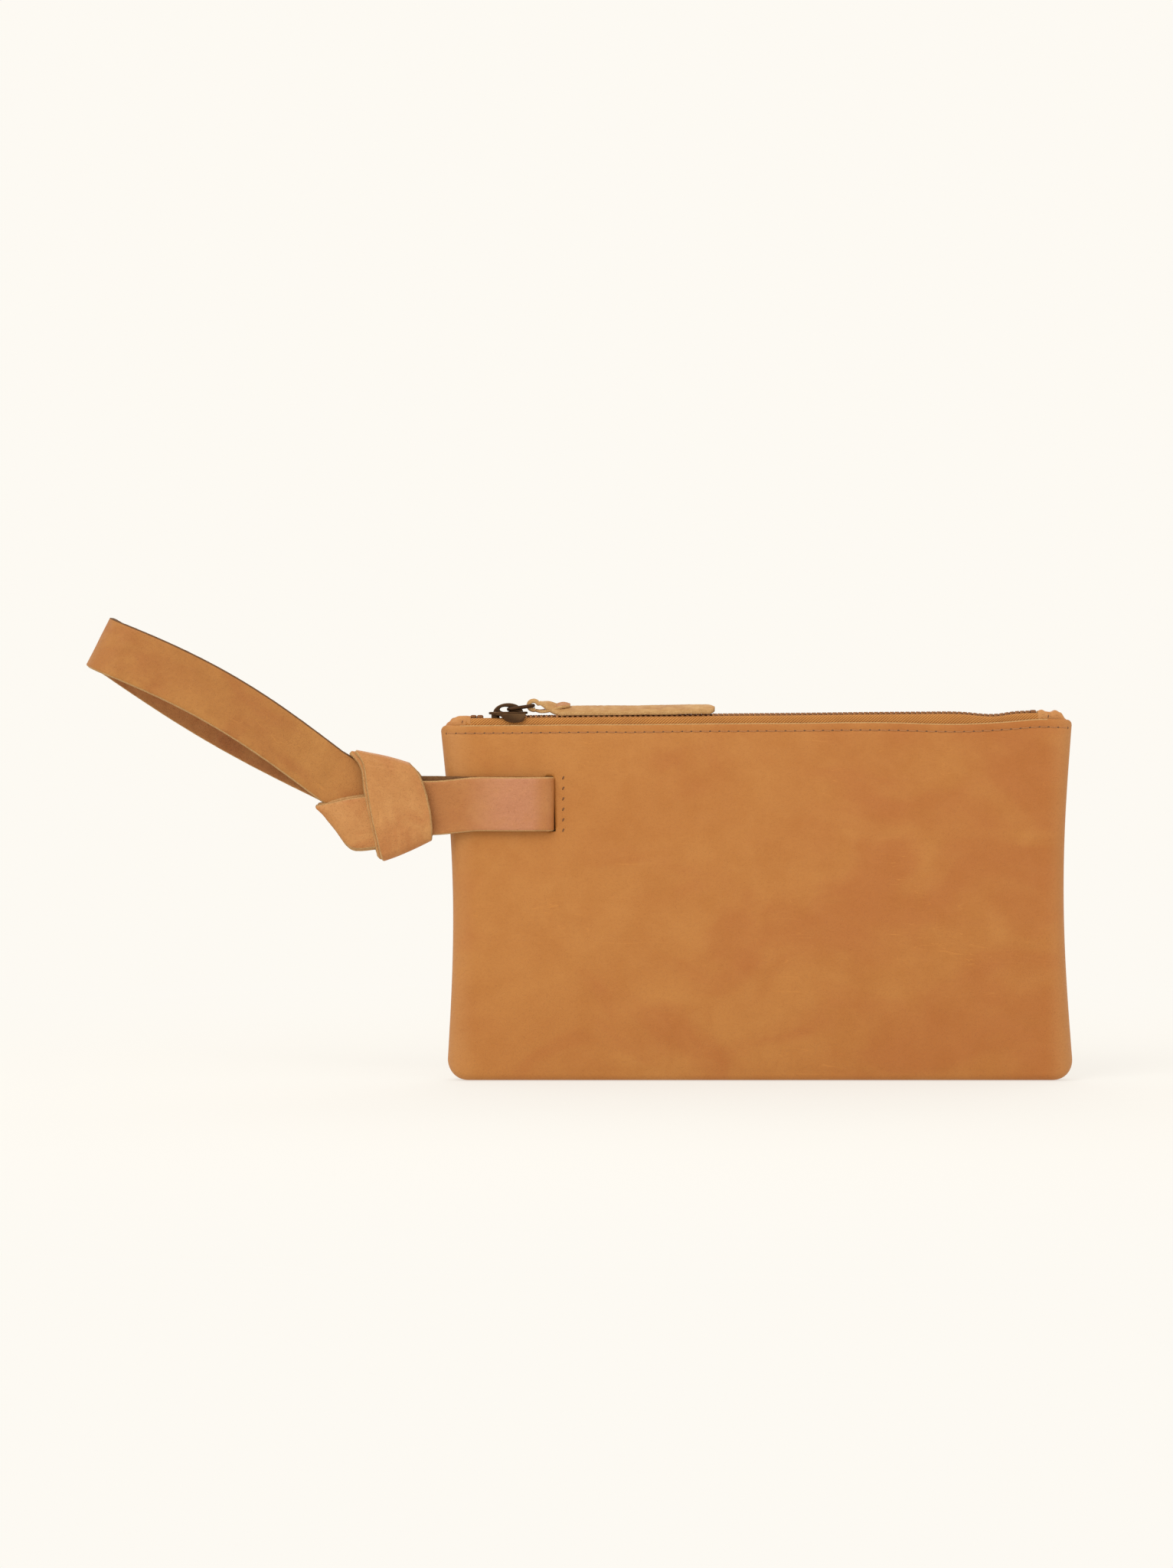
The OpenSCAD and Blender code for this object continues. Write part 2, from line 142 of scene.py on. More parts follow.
class Shader:
    """A node material, with short calls for the nodes that this scene uses."""

    def __init__(self, name):
        self.mat = bpy.data.materials.new(name)
        self.mat.use_nodes = True
        self.tree = self.mat.node_tree
        self.tree.nodes.clear()
        self.out = self.tree.nodes.new("ShaderNodeOutputMaterial")
        self.bsdf = self.tree.nodes.new("ShaderNodeBsdfPrincipled")
        self.tree.links.new(self.bsdf.outputs[0], self.out.inputs[0])

    def put(self, socket, value):
        if isinstance(value, bpy.types.NodeSocket):
            self.tree.links.new(value, socket)
        elif isinstance(value, (tuple, list)) and len(value) == 3 and len(socket.default_value) == 4:
            socket.default_value = (*value, 1.0)
        else:
            socket.default_value = value

    def set(self, **values):
        for key, value in values.items():
            self.put(self.bsdf.inputs[key.replace("_", " ")], value)

    def node(self, kind, output, **values):
        """Makes a node and gives back one of its outputs. A name with a capital is an input's, with _ for
        a space, and other names are settings, which come first."""
        node = self.tree.nodes.new("ShaderNode" + kind)
        for key, value in values.items():
            if not key[0].isupper():
                setattr(node, key, value)
            elif value is not None:
                self.put(node.inputs[key.replace("_", " ")], value)
        return node.outputs[output]

    def flat(self):
        """Where the point lies on the flat leather or cloth, in metres."""
        return self.node("Attribute", "Vector", attribute_name="flat")

    def place(self):
        return self.node("TexCoord", "Object")

    def parts(self, vector):
        """The X, Y and Z of a vector."""
        return self.node("SeparateXYZ", slice(0, 3), Vector=vector)

    def scaled(self, vector, scale):
        return self.node("Mapping", 0, Vector=vector, Scale=scale)

    def noise(self, vector, scale, detail=3.0, rough=0.55, distortion=0.0):
        return self.node("TexNoise", "Fac", Vector=vector, Scale=scale, Detail=detail, Roughness=rough,
                         Distortion=distortion)

    def cells(self, vector, scale, feature="F1"):
        return self.node("TexVoronoi", "Distance", feature=feature, Vector=vector, Scale=scale)

    def ramp(self, value, low, high, to_low=0.0, to_high=1.0):
        return self.node("MapRange", "Result", interpolation_type="SMOOTHSTEP", Value=value,
                         From_Min=low, From_Max=high, To_Min=to_low, To_Max=to_high)

    def math(self, kind, a, b=0.0):
        node = self.tree.nodes.new("ShaderNodeMath")
        node.operation = kind
        self.put(node.inputs[0], a)
        self.put(node.inputs[1], b)
        return node.outputs[0]

    def times(self, a, b):
        return self.math("MULTIPLY", a, b)

    def stripes(self, value, pitch):
        return self.math("SINE", self.times(value, 2 * math.pi / pitch))

    def blend(self, factor, a, b):
        return self.node("Mix", "Result", data_type="RGBA", Factor=factor, A=a, B=b)

    def bump(self, height, distance, strength, after=None):
        return self.node("Bump", 0, Height=height, Distance=distance, Strength=strength, Normal=after)


RUB_FROM, RUB_TO = 0.108, 0.119  # the pouch gets lighter between these distances from its middle


def hide(name, light, mid, red, dark, roughness, cloud_size=0.06, pore=0.7, redder=0.0, painted_sheen=None,
         rubbed=None):
    """Oiled pull-up leather: cloudy colour, fine pores, light scuffs and hairline scratches.

    redder shifts the red clouds from left to right, rubbed is a lighter colour along the two sides,
    and blush gives the painted sheen: a pinkish painted highlight with lighter painted glints, as a colour
    with the places where it comes in and goes out along the strap.
    """
    s = Shader(name)
    flat = s.flat()
    big = s.noise(flat, 1 / cloud_size, 3, 0.5, 0.6)
    middle = s.noise(flat, 5 / cloud_size, 4, 0.6, 0.3)
    colour = s.blend(s.ramp(big, 0.36, 0.64), mid, light)
    drift = s.noise(s.scaled(flat, (1.0, 1.6, 1.0)), 1.3 / cloud_size, 3, 0.5, 0.8)
    along = s.parts(flat)[0]
    if redder:
        drift = s.math("ADD", drift, s.ramp(along, -POUCH_W / 2, POUCH_W / 2, -redder, redder))
    colour = s.blend(s.ramp(drift, 0.40, 0.72), colour, red)
    # painted sheen: a pinkish painted highlight along the strap, flecked with lighter painted glints
    if painted_sheen:
        tint, rise_from, rise_to, fall_from, fall_to = painted_sheen
        near = s.times(s.ramp(along, rise_from, rise_to, 0.15, 0.85),
                       s.ramp(along, fall_from, fall_to, 1.0, 0.08))
        near = s.times(near, s.ramp(middle, 0.2, 0.6, 0.55, 1.0))
        colour = s.blend(near, colour, tint)
        sheen_glints = s.ramp(s.noise(flat, 1500, 3, 0.6, 0.4), 0.56, 0.70, 0.0, 0.5)
        colour = s.blend(s.times(near, sheen_glints), colour, tuple(1.35 * c for c in tint))
    if rubbed:
        sides = s.math("MAXIMUM", s.ramp(along, -RUB_TO, -RUB_FROM, 1.0, 0.0),
                       s.ramp(along, RUB_FROM, RUB_TO, 0.0, 1.0))
        colour = s.blend(s.times(sides, s.ramp(middle, 0.25, 0.6, 0.4, 0.95)), colour, rubbed)
    colour = s.blend(s.ramp(middle, 0.30, 0.72, 0.0, 0.22), colour, dark)
    fine = s.noise(flat, 900, 5, 0.7)
    colour = s.blend(s.ramp(fine, 0.45, 0.75, 0.0, 0.24), colour, dark)
    colour = s.blend(s.ramp(fine, 0.25, 0.45, 0.20, 0.0), colour, light)
    pores = s.cells(flat, 2100)
    colour = s.blend(s.ramp(pores, 0.10, 0.30, 0.20, 0.0), colour, dark)
    scratch = s.noise(s.scaled(flat, (18, 160, 1)), 1.0, 2, 0.4, 1.8)
    scratch_line = s.ramp(s.math("ABSOLUTE", s.math("SUBTRACT", scratch, 0.5)), 0.0, 0.006, 1.0, 0.0)
    scuff = s.times(scratch_line, s.ramp(s.noise(flat, 26, 2), 0.52, 0.62))
    colour = s.blend(s.times(scuff, 0.38), colour, tuple(1.25 * c for c in light))
    rough = s.ramp(middle, 0.3, 0.7, roughness - 0.07, roughness + 0.08)
    grain = s.bump(s.ramp(pores, 0.05, 0.42), 0.00010 * pore, 0.9)
    cracks = s.cells(s.scaled(flat, (1.0, 1.25, 1.0)), 620, "DISTANCE_TO_EDGE")
    creases = s.bump(cracks, 0.00018 * pore, 0.35, after=grain)
    soft = s.bump(s.noise(flat, 220, 4, 0.6), 0.00035 * pore, 0.5, after=creases)
    s.set(Base_Color=colour, Roughness=rough, Normal=soft, Specular_IOR_Level=0.36)
    return s.mat


def cut_edge(name, light, dark):
    """The pale fibrous side of leather where it has been cut."""
    s = Shader(name)
    place = s.place()
    fibre = s.noise(place, 2600, 4, 0.75)
    layer = s.noise(place, 380, 3, 0.6)
    colour = s.blend(s.ramp(fibre, 0.3, 0.7), light, dark)
    colour = s.blend(s.ramp(layer, 0.45, 0.7, 0.0, 0.45), colour, dark)
    s.set(Base_Color=colour, Roughness=0.9, Normal=s.bump(fibre, 0.0002, 0.8), Specular_IOR_Level=0.2)
    return s.mat


def woven(name, light, dark, thread):
    """Zip tape: a tight twill with slanting ribs."""
    s = Shader(name)
    flat = s.flat()
    x, y = s.parts(flat)[:2]
    twill = s.stripes(s.math("SUBTRACT", x, s.times(y, 1.2)), 1.6 * thread)
    weave = s.math("ADD", s.times(s.stripes(x, thread), 0.12),
                   s.math("ADD", s.times(twill, 0.68), s.times(s.stripes(y, 0.8 * thread), 0.12)))
    fuzz = s.noise(flat, 3200, 3, 0.7)
    height = s.math("ADD", weave, s.times(fuzz, 0.6))
    colour = s.blend(s.ramp(height, -0.5, 1.1), dark, light)
    colour = s.blend(s.ramp(s.noise(flat, 70, 3), 0.4, 0.7, 0.0, 0.4), colour, dark)
    s.set(Base_Color=colour, Roughness=0.85, Normal=s.bump(height, 0.00018, 0.8))
    return s.mat


def twisted(name, light, dark, pitch):
    """Waxed sewing thread: slanting plies."""
    s = Shader(name)
    place = s.place()
    x, y, z = s.parts(place)
    slant = s.math("ADD", s.math("ADD", x, z), s.times(y, 0.5))
    height = s.math("ADD", s.stripes(slant, pitch), s.noise(place, 4000, 2, 0.6))
    s.set(Base_Color=s.blend(s.ramp(height, -0.4, 1.4), dark, light), Roughness=0.62,
          Normal=s.bump(height, 0.00008, 0.7))
    return s.mat


def antique(name, dark, worn, patina, wear):
    """Dark antique brass: brown in the hollows, bright where it is rubbed."""
    s = Shader(name)
    place = s.place()
    blotch = s.noise(place, 420, 4, 0.6, 0.4)
    fine = s.noise(place, 3000, 4, 0.65)
    rubbed = s.ramp(s.node("NewGeometry", "Pointiness"), 0.50, 0.57, 0.0, wear)
    colour = s.blend(s.ramp(blotch, 0.38, 0.62), dark, patina)
    colour = s.blend(s.ramp(fine, 0.5, 0.7, 0.0, 0.14), colour, worn)
    colour = s.blend(rubbed, colour, worn)
    s.set(Base_Color=colour, Roughness=s.ramp(blotch, 0.3, 0.7, 0.34, 0.52), Metallic=0.92,
          Normal=s.bump(s.math("ADD", fine, blotch), 0.00006, 0.5))
    return s.mat


LEATHER = hide("pouch_leather", (0.458, 0.184, 0.037), (0.432, 0.163, 0.030), (0.408, 0.137, 0.025),
               (0.33, 0.104, 0.018), roughness=0.62, redder=0.10, rubbed=(0.475, 0.212, 0.062))
# the strap's pinkish patch is a painted sheen (painted highlight)
STRAP_LEATHER = hide("strap_leather", (0.45, 0.190, 0.053), (0.41, 0.158, 0.036), (0.40, 0.143, 0.032),
                     (0.32, 0.108, 0.026), roughness=0.50, cloud_size=0.03, pore=1.0,
                     painted_sheen=((0.50, 0.213, 0.112), 0.020, 0.027, 0.034, 0.054))
KNOT_LEATHER = hide("knot_leather", (0.53, 0.248, 0.076), (0.475, 0.206, 0.057), (0.45, 0.175, 0.047),
                    (0.33, 0.116, 0.029), roughness=0.56, cloud_size=0.025, pore=1.1)
LOOP_LEATHER = hide("loop_leather", (0.445, 0.190, 0.042), (0.402, 0.161, 0.033), (0.375, 0.133, 0.027),
                    (0.28, 0.096, 0.018), roughness=0.56, cloud_size=0.035, pore=0.9)
INNER_LEATHER = hide("flesh_side", (0.41, 0.175, 0.055), (0.36, 0.143, 0.042), (0.33, 0.118, 0.035),
                     (0.24, 0.080, 0.022), roughness=0.85, cloud_size=0.02, pore=1.4)
PULL_LEATHER = hide("pull_leather", (0.55, 0.32, 0.12), (0.47, 0.25, 0.085), (0.41, 0.20, 0.065),
                    (0.28, 0.12, 0.035), roughness=0.66, cloud_size=0.012, pore=0.9)
EDGE = cut_edge("cut_edge", (0.60, 0.37, 0.16), (0.36, 0.185, 0.066))
# painted shade: a dark cut edge and face for leather in the shadow between layers, used on the wrist loop's
# upper edge and on the under strap layer's inner face and upper edge
PAINTED_SHADE_EDGE = cut_edge("cut_edge_painted_shade", (0.20, 0.095, 0.036), (0.095, 0.042, 0.016))
TAPE = woven("zip_tape_weave", (0.62, 0.265, 0.058), (0.34, 0.125, 0.024), 0.00075)
THREAD = twisted("waxed_thread", (0.47, 0.200, 0.062), (0.33, 0.125, 0.035), 0.0006)
# painted shade: dark thread that stands for the shade in needle holes, used for the plugs in the mouth's
# needle holes and for the strap's and the end tabs' stitches
HOLE_SHADE_THREAD = twisted("thread_painted_hole_shade", (0.22, 0.095, 0.034), (0.10, 0.042, 0.015), 0.0006)
METAL = antique("antique_brass", (0.040, 0.018, 0.008), (0.32, 0.185, 0.085), (0.062, 0.027, 0.011), 0.30)
TEETH_METAL = antique("teeth_brass", (0.10, 0.034, 0.012), (0.42, 0.20, 0.085), (0.19, 0.075, 0.030), 0.45)


# ---- mesh building ----
class Build:
    """Collects vertices, faces, materials and flat places for one mesh."""

    def __init__(self):
        self.verts, self.faces, self.mats, self.flat = [], [], [], []

    def add(self, verts, faces, mats, flat=None):
        start = len(self.verts)
        self.verts += verts
        self.flat += flat or [(v[0], v[2], v[1]) for v in verts]
        self.faces += [tuple(start + k for k in face) for face in faces]
        self.mats += mats

    def make(self, name, body, nodes, materials):
        """The piece rides on a body; given (body, body, start, end) instead, it only has its transform
        baked in and rides on no body. It stands for CAD nodes, which are hidden.
        """
        mesh = bpy.data.meshes.new(name)
        mesh.from_pydata([tuple(v) for v in self.verts], [], self.faces)
        mesh.validate()
        for material in materials:
            mesh.materials.append(material)
        mesh.polygons.foreach_set("material_index", self.mats)
        mesh.polygons.foreach_set("use_smooth", [True] * len(mesh.polygons))
        where = mesh.attributes.new("flat", "FLOAT_VECTOR", "POINT")
        where.data.foreach_set("vector", [c for p in self.flat for c in p])
        mesh.update()
        obj = add_object(name, mesh)
        if isinstance(body, str):
            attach(obj, body)
        else:
            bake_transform(obj)
        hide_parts(*nodes)


def rings(build, sections, mats=None, cap=0, flat=None, closed=False):
    """Joins equal closed sections, each a list of points, into a tube, closed or with end caps. mats gives
    a material for each side of the tube."""
    n, k = len(sections), len(sections[0])
    faces, kinds = [], []
    for i in range(n if closed else n - 1):
        low, high = i * k, (i + 1) % n * k
        faces += [(low + j, low + (j + 1) % k, high + (j + 1) % k, high + j) for j in range(k)]
        kinds += mats or [cap] * k
    if not closed:
        faces += [tuple(reversed(range(k))), tuple(range((n - 1) * k, n * k))]
        kinds += [cap, cap]
    build.add([p for section in sections for p in section], faces, kinds, flat)


def heading(path, i, closed):
    """The direction of a path at its point i."""
    n = len(path)
    if closed:
        return (path[(i + 1) % n] - path[i - 1]).normalized()
    return (path[min(i + 1, n - 1)] - path[max(i - 1, 0)]).normalized()


def wire(build, points, radius, sides, closed=False, mat=0):
    """A round wire along the points."""
    sections = []
    up = Vector((0.13, 0.9, 0.31)).normalized()
    for i, point in enumerate(points):
        t = heading(points, i, closed)
        side = t.cross(up).normalized()
        other = side.cross(t).normalized()
        sections.append([point + radius * (c * side + s * other) for c, s in circle(sides)])
    rings(build, sections, cap=mat, closed=closed)


def smooth_path(points, steps):
    """A Catmull-Rom curve through the points, with steps points in each span."""
    points = [Vector(p) for p in points]
    out = []
    n = len(points)
    for i in range(n - 1):
        p0, p1, p2, p3 = (points[max(i - 1, 0)], points[i], points[i + 1], points[min(i + 2, n - 1)])
        for k in range(steps):
            t = k / steps
            out.append(0.5 * ((2 * p1) + (p2 - p0) * t + (2 * p0 - 5 * p1 + 4 * p2 - p3) * t * t
                              + (3 * p1 - p0 - 3 * p2 + p3) * t ** 3))
    out.append(points[-1].copy())
    return out


# ---- pouch ----
SLOT_MID, SLOT_HALF = -0.08065, 0.0017
STITCH_DROP = 0.0031  # from the cut edge of the mouth down to the stitches
GROOVE_W = 0.00075  # half width of the dip that the stitches pull into the leather
MOUTH_R = 0.0022  # rounding of the panels' upper corners
PALE_EDGE = (-0.1130, 0.1095)  # where the cut edge shows pale along the mouth
EDGE_BAND = 0.0004  # height of the rounded edge along the mouth
RISE_H = POUCH_H - BOTTOM_R  # height of the faces above the rounding of the bottom


def half_w(z):
    return POUCH_W / 2 - WAIST * math.sin(math.pi * z / POUCH_H) + MOUTH_WIDER * z / POUCH_H


def mouth_z(x):
    return POUCH_H + MOUTH_RISE * x / POUCH_W


def rounding(x, hw, r):
    """How far a corner of radius r takes the outline in at x, where the outline is hw wide to each side."""
    d = clamp(abs(x) - (hw - r), 0, r)
    return r - math.sqrt(max(0.0, r * r - d * d))


def side_round(x, hw):
    d = clamp((abs(x) - (hw - SIDE_R)) / SIDE_R)
    return max(0.012, math.sqrt(max(0.0, 1 - d * d)))


def fullness(u, t):
    """The pouch's half thickness at a share u of its half width and a share t of its height."""
    return mix(BOTTOM_HALF, TOP_HALF, t) + BULGE * (1 - abs(u) ** 2.5) * math.sin(math.pi * t ** 0.75)


def half_thickness(x, z):
    """Outer half thickness of the pouch at a place on its face, as the CAD panel has it."""
    hw = half_w(z)
    return fullness(clamp(x / hw, -1, 1), clamp((z - BOTTOM_R) / RISE_H)) * side_round(x, hw)


def handling(x, z, side):
    """Small dents and swells that handling leaves in the leather, and the marks of its seams."""
    hw = half_w(z)
    inside = ease((hw - abs(x)) / 0.02) * ease(z / 0.02) * ease((POUCH_H - z) / 0.02)
    swell = 0.00050 * cloud(x, side, z, 0.075, 3.1) + 0.00022 * cloud(x, side, z, 0.027, 7.7)
    from_side = hw - abs(x)
    seam = 0.00016 * bell(from_side, 0.0072, 0.0016) * ease(z / 0.02)
    from_mouth = POUCH_H - z + rounding(x, hw, MOUTH_R)
    groove = -0.00026 * bell(from_mouth, STITCH_DROP, GROOVE_W)
    lip = 0.00012 * cloud(x, side, 0, 0.011, 1.3) * ease(1 - from_mouth / 0.006)
    return swell * inside + seam + groove + lip


def mouth_wave(x, side):
    """How far the cut edge wanders up and down along the mouth."""
    sag = -0.0010 * bell(x, 0.076, 0.022) + 0.0006 * bell(x, 0.1085, 0.010)
    return sag + 0.00022 * cloud(x, side, 0, 0.05, 5.5) + 0.00010 * cloud(x, side, 0, 0.012, 2.5)


def panel_top(x, hw, z, side):
    """Height of the mouth over x. Only the rows of leather in the upper half follow the cut edge."""
    cut = mouth_wave(x, side) - rounding(x, hw, MOUTH_R)
    return mouth_z(x) + cut * ease(2 * z / POUCH_H - 1)


def panel_point(u, row, inset, side):
    """A point of a panel: u is its place across, from -1 to 1, and row tells how far up it is."""
    kind, value = row
    r = BOTTOM_R - inset
    if kind == "flat":
        out, z = max(0.00003, (BOTTOM_HALF - BOTTOM_R) * value), inset
    elif kind == "arc":
        a = QUARTER * value
        out, z = BOTTOM_HALF - BOTTOM_R + r * math.sin(a), BOTTOM_R - r * math.cos(a)
    else:
        out = fullness(u, value) - inset
        z = mix(BOTTOM_R, POUCH_H, value)
    hw = half_w(z) - inset
    x = u * hw
    out *= side_round(x, hw)
    lift, top = rounding(x, hw, CORNER_R), panel_top(x, hw, z, side)
    height = lift + z * (top - lift) / POUCH_H
    if kind == "rise":
        out += handling(x, z, side) * side_round(x, hw)
    return Vector((x - LEAN * z / POUCH_H, side * out, height))


def panel_face(x, z, side):
    """The leather's outer face at a place, as the panel's mesh has it."""
    px = x + LEAN * z / POUCH_H
    zn = z * POUCH_H / panel_top(px, half_w(z), z, side)
    return side * (half_thickness(px, zn) + handling(px, zn, side) * side_round(px, half_w(zn)))


def with_lines(values, lines, apart):
    """The values with grid lines put in, and the values that come too near a line taken out."""
    kept = [v for v in values if all(abs(v - line) > apart for line in lines)]
    return sorted(kept + list(lines))


def panel(side):
    """One leather panel: its outer face, its inner face and the cut edges round it and in the slot."""
    front = side < 0
    z_lines, u_lines = [], []
    if front:
        for z in (STRAP_Z - STRAP_W / 2, STRAP_Z + STRAP_W / 2):
            z_lines.append((z * POUCH_H / mouth_z(SLOT_MID) - BOTTOM_R) / RISE_H)
        slot_low, slot_high = z_lines
        shift = LEAN * STRAP_Z / POUCH_H
        u_lines = [(SLOT_MID + d + shift) / half_w(STRAP_Z) for d in (-SLOT_HALF, SLOT_HALF)]
    us = [math.sin(math.radians(-90 + 180 * i / 170)) for i in range(171)]
    us = with_lines(us, u_lines, 0.004)
    edge_share = 1 - EDGE_BAND / RISE_H
    z_lines += [1 - (STITCH_DROP + k * GROOVE_W) / RISE_H for k in (-2, -1, 0, 1, 2)]
    rises = with_lines([k / 96 * edge_share for k in range(1, 97)], z_lines, 0.004)
    rows = [("flat", k / 3) for k in range(4)] + [("arc", k / 7) for k in range(1, 8)]
    rows += [("rise", v) for v in rises]
    edge_rows = [(0.45, 0.00010), (0.75, 0.00026), (1.0, 0.00052)]  # (share of its height, how far in)
    n, m = len(us), len(rows) + len(edge_rows)
    verts = []
    for inset in (0.0, LEATHER_T):
        for u in us:
            for row in rows:
                verts.append(panel_point(u, row, inset, side))
            for share, draw in edge_rows:
                p = panel_point(u, ("rise", mix(edge_share, 1, share)), inset, side)
                p.y -= side * (draw if inset == 0 else -0.3 * draw)
                verts.append(p)
    in_slot = set()
    if front:
        for i in range(n - 1):
            for j in range(len(rows) - 1):
                u_mid, z_mid = (us[i] + us[i + 1]) / 2, (rows[j][1] + rows[j + 1][1]) / 2
                within = u_lines[0] < u_mid < u_lines[1] and slot_low < z_mid < slot_high
                if within and rows[j][0] == "rise":
                    in_slot.add((i, j))
    solid = {(i, j) for i in range(n - 1) for j in range(m - 1)} - in_slot
    faces, mats = [], []

    def face(corners, mat):
        """A face from corners (i, j, layer), where layer is 0 on the outer face and 1 on the inner."""
        points = tuple(layer * n * m + i * m + j for i, j, layer in corners)
        faces.append(points if front else points[::-1])
        mats.append(mat)

    for i, j in sorted(solid):
        right, up = i + 1, j + 1
        pale = up >= len(rows) and PALE_EDGE[0] < us[i] * POUCH_W / 2 < PALE_EDGE[1]
        face([(i, j, 0), (right, j, 0), (right, up, 0), (i, up, 0)], 1 if pale else 0)
        face([(i, j, 1), (i, up, 1), (right, up, 1), (right, j, 1)], 2)
        sides = (((i - 1, j), (i, j, 1), (i, j, 0), (i, up, 0), (i, up, 1)),
                 ((right, j), (right, j, 0), (right, j, 1), (right, up, 1), (right, up, 0)),
                 ((i, j - 1), (i, j, 1), (right, j, 1), (right, j, 0), (i, j, 0)),
                 ((i, up), (i, up, 0), (right, up, 0), (right, up, 1), (i, up, 1)))
        for beside, *corners in sides:
            if beside not in solid:
                face(corners, 1)
    # The grid points inside the slot belong to no face, and are left out.
    used = sorted({k for f in faces for k in f})
    renumber = {k: r for r, k in enumerate(used)}
    verts = [verts[k] for k in used]
    flat = [(v.x, v.z, side * 0.5) for v in verts]
    build = Build()
    build.add(verts, [tuple(renumber[k] for k in f) for f in faces], mats, flat)
    build.make(sided(side, "leather"), "pouch", [sided(side, "panel")],
               [LEATHER, EDGE, INNER_LEATHER])


# ---- zip ----
# Heights here are above the cut edge of the mouth.
MOUTH_TURN = math.atan(MOUTH_RISE / POUCH_W)
TAPE_X = (-0.113, 0.1082)  # from one tape end, under the left tab, to the other
TAPE_FACE = TOP_HALF - LEATHER_T - 0.00005
TAPE_T = 0.0006
TAPE_RISE = 0.0028
TAPE_DEPTH = 0.012
TAPE_BEND = 0.0010
BEAD_Y = 0.0023  # the tape's thick edge, which the teeth grip
TOOTH_PITCH = 0.002
TEETH_FROM, TEETH_COUNT = -0.09795, 101
TOOTH_LOW, TOOTH_HIGH = 0.0016, 0.0038
SLIDER_X, SLIDER_L = -0.0967, 0.015
PLATE_LOW, PLATE_T, PLATE_W = 0.00415, 0.001, 0.0092
POST_X = 0.0026 - SLIDER_L / 2  # the divider post, from the slider's middle
ARCH_HALF = 0.0015
LINK_PIN, EYE_PIN = (SLIDER_X + 0.0002, 0.0061), (SLIDER_X + 0.0096, 0.0074)
LINK_HALF, LINK_R = 0.003, 0.00072
PULL_W, PULL_NECK, PULL_T, PULL_L = 0.007, 0.0046, 0.0014, 0.0677
PULL_REST = 0.0057  # height of the pull where it lies on the chain


def on_mouth(p):
    """A point of the mouth's own frame (along, out, above the cut edge) in the object's frame."""
    c, s = math.cos(MOUTH_TURN), math.sin(MOUTH_TURN)
    return Vector((p[0] * c - p[2] * s, p[1], POUCH_H + p[0] * s + p[2] * c))


def zip_wander(x):
    """The chain's small sideways and up-and-down wander along the mouth: (out, up)."""
    loose = ease((x - SLIDER_X - 0.012) / 0.03) * ease((0.106 - x) / 0.015)
    dip = -0.0012 * bell(x, 0.0885, 0.009)
    return (0.00030 * cloud(x, 0, 0, 0.04, 9.2) * loose,
            (0.00013 * cloud(x, 0, 0, 0.035, 4.4) + dip) * loose)


def tape(side):
    """Half of the zip's tape: it stands behind the leather and bends over towards the teeth."""
    bend_y, bend_z = TAPE_FACE - TAPE_BEND, TAPE_RISE - TAPE_BEND
    outline = [(TAPE_FACE, -TAPE_DEPTH), (TAPE_FACE, -TAPE_DEPTH / 2)]
    outline += arc(bend_y, bend_z, TAPE_BEND, 0, QUARTER, 8)
    outline += [(BEAD_Y - 0.0011, TAPE_RISE), (BEAD_Y - 0.0011, TAPE_RISE - TAPE_T)]
    outline += arc(bend_y, bend_z, TAPE_BEND - TAPE_T, QUARTER, -QUARTER, 4)
    outline += [(TAPE_FACE - TAPE_T, -TAPE_DEPTH / 2), (TAPE_FACE - TAPE_T, -TAPE_DEPTH)]
    lengths = [0.0]
    for a, b in zip(outline, outline[1:]):
        lengths.append(lengths[-1] + math.dist(a, b))
    sections, flat = [], []
    for i in range(321):
        x = mix(*TAPE_X, i / 320)
        out, up = zip_wander(x)
        section = []
        for (y, h), run in zip(outline, lengths):
            free = ease((h + 0.002) / 0.003)
            ripple = 0.00007 * cloud(x, side, h, 0.006, 2.2) * free
            section.append(on_mouth((x, side * (y + ripple) + out * free, h + up * free)))
            flat.append((x, run, 0))
        sections.append(section)
    build = Build()
    rings(build, sections, flat=flat)
    if side < 0:
        build.faces = [tuple(reversed(f)) for f in build.faces]
    build.make(sided(side, "tape"), "pouch", [sided(side, "zip_tape")], [TAPE])


def tooth(build, x, side):
    """One element: two legs gripping the tape's edge, and a rounded head with its nib."""
    out, up = zip_wander(x)
    half_x, half_z = 0.00054, (TOOTH_HIGH - TOOTH_LOW) / 2
    mid = (TOOTH_LOW + TOOTH_HIGH) / 2
    # (distance out from the chain's middle, share of the height, share of the width)
    profile = [(BEAD_Y - 0.0001, 0.80, 1.0), (BEAD_Y - 0.0005, 0.98, 1.0), (0.0009, 1.0, 0.80),
               (0.0004, 0.94, 0.80), (0.0, 0.80, 0.95), (-0.0004, 0.60, 0.95), (-0.0006, 0.30, 0.95)]
    sections = []
    for place, scale in ((-1, 0.72), (-0.82, 0.94), (-0.4, 1.0), (0.4, 1.0), (0.82, 0.94), (1, 0.72)):
        upper = []
        for y, h, w in profile:
            nib = y * mix(0.8, 1, scale) if y < 0 else y
            upper.append((place * half_x * w, nib, half_z * h * scale))
        ring = upper + [(a, b, -c) for a, b, c in reversed(upper)]
        sections.append([on_mouth((x + a, side * b + out, mid + c + up)) for a, b, c in ring])
    if side < 0:
        sections.reverse()
    rings(build, sections)


def zip_teeth(side):
    build = Build()
    shift = 0 if side < 0 else TOOTH_PITCH / 2
    for k in range(TEETH_COUNT):
        tooth(build, TEETH_FROM + shift + k * TOOTH_PITCH, side)
    build.make(sided(side, "teeth_row"), "pouch", [sided(side, "teeth")], [TEETH_METAL])


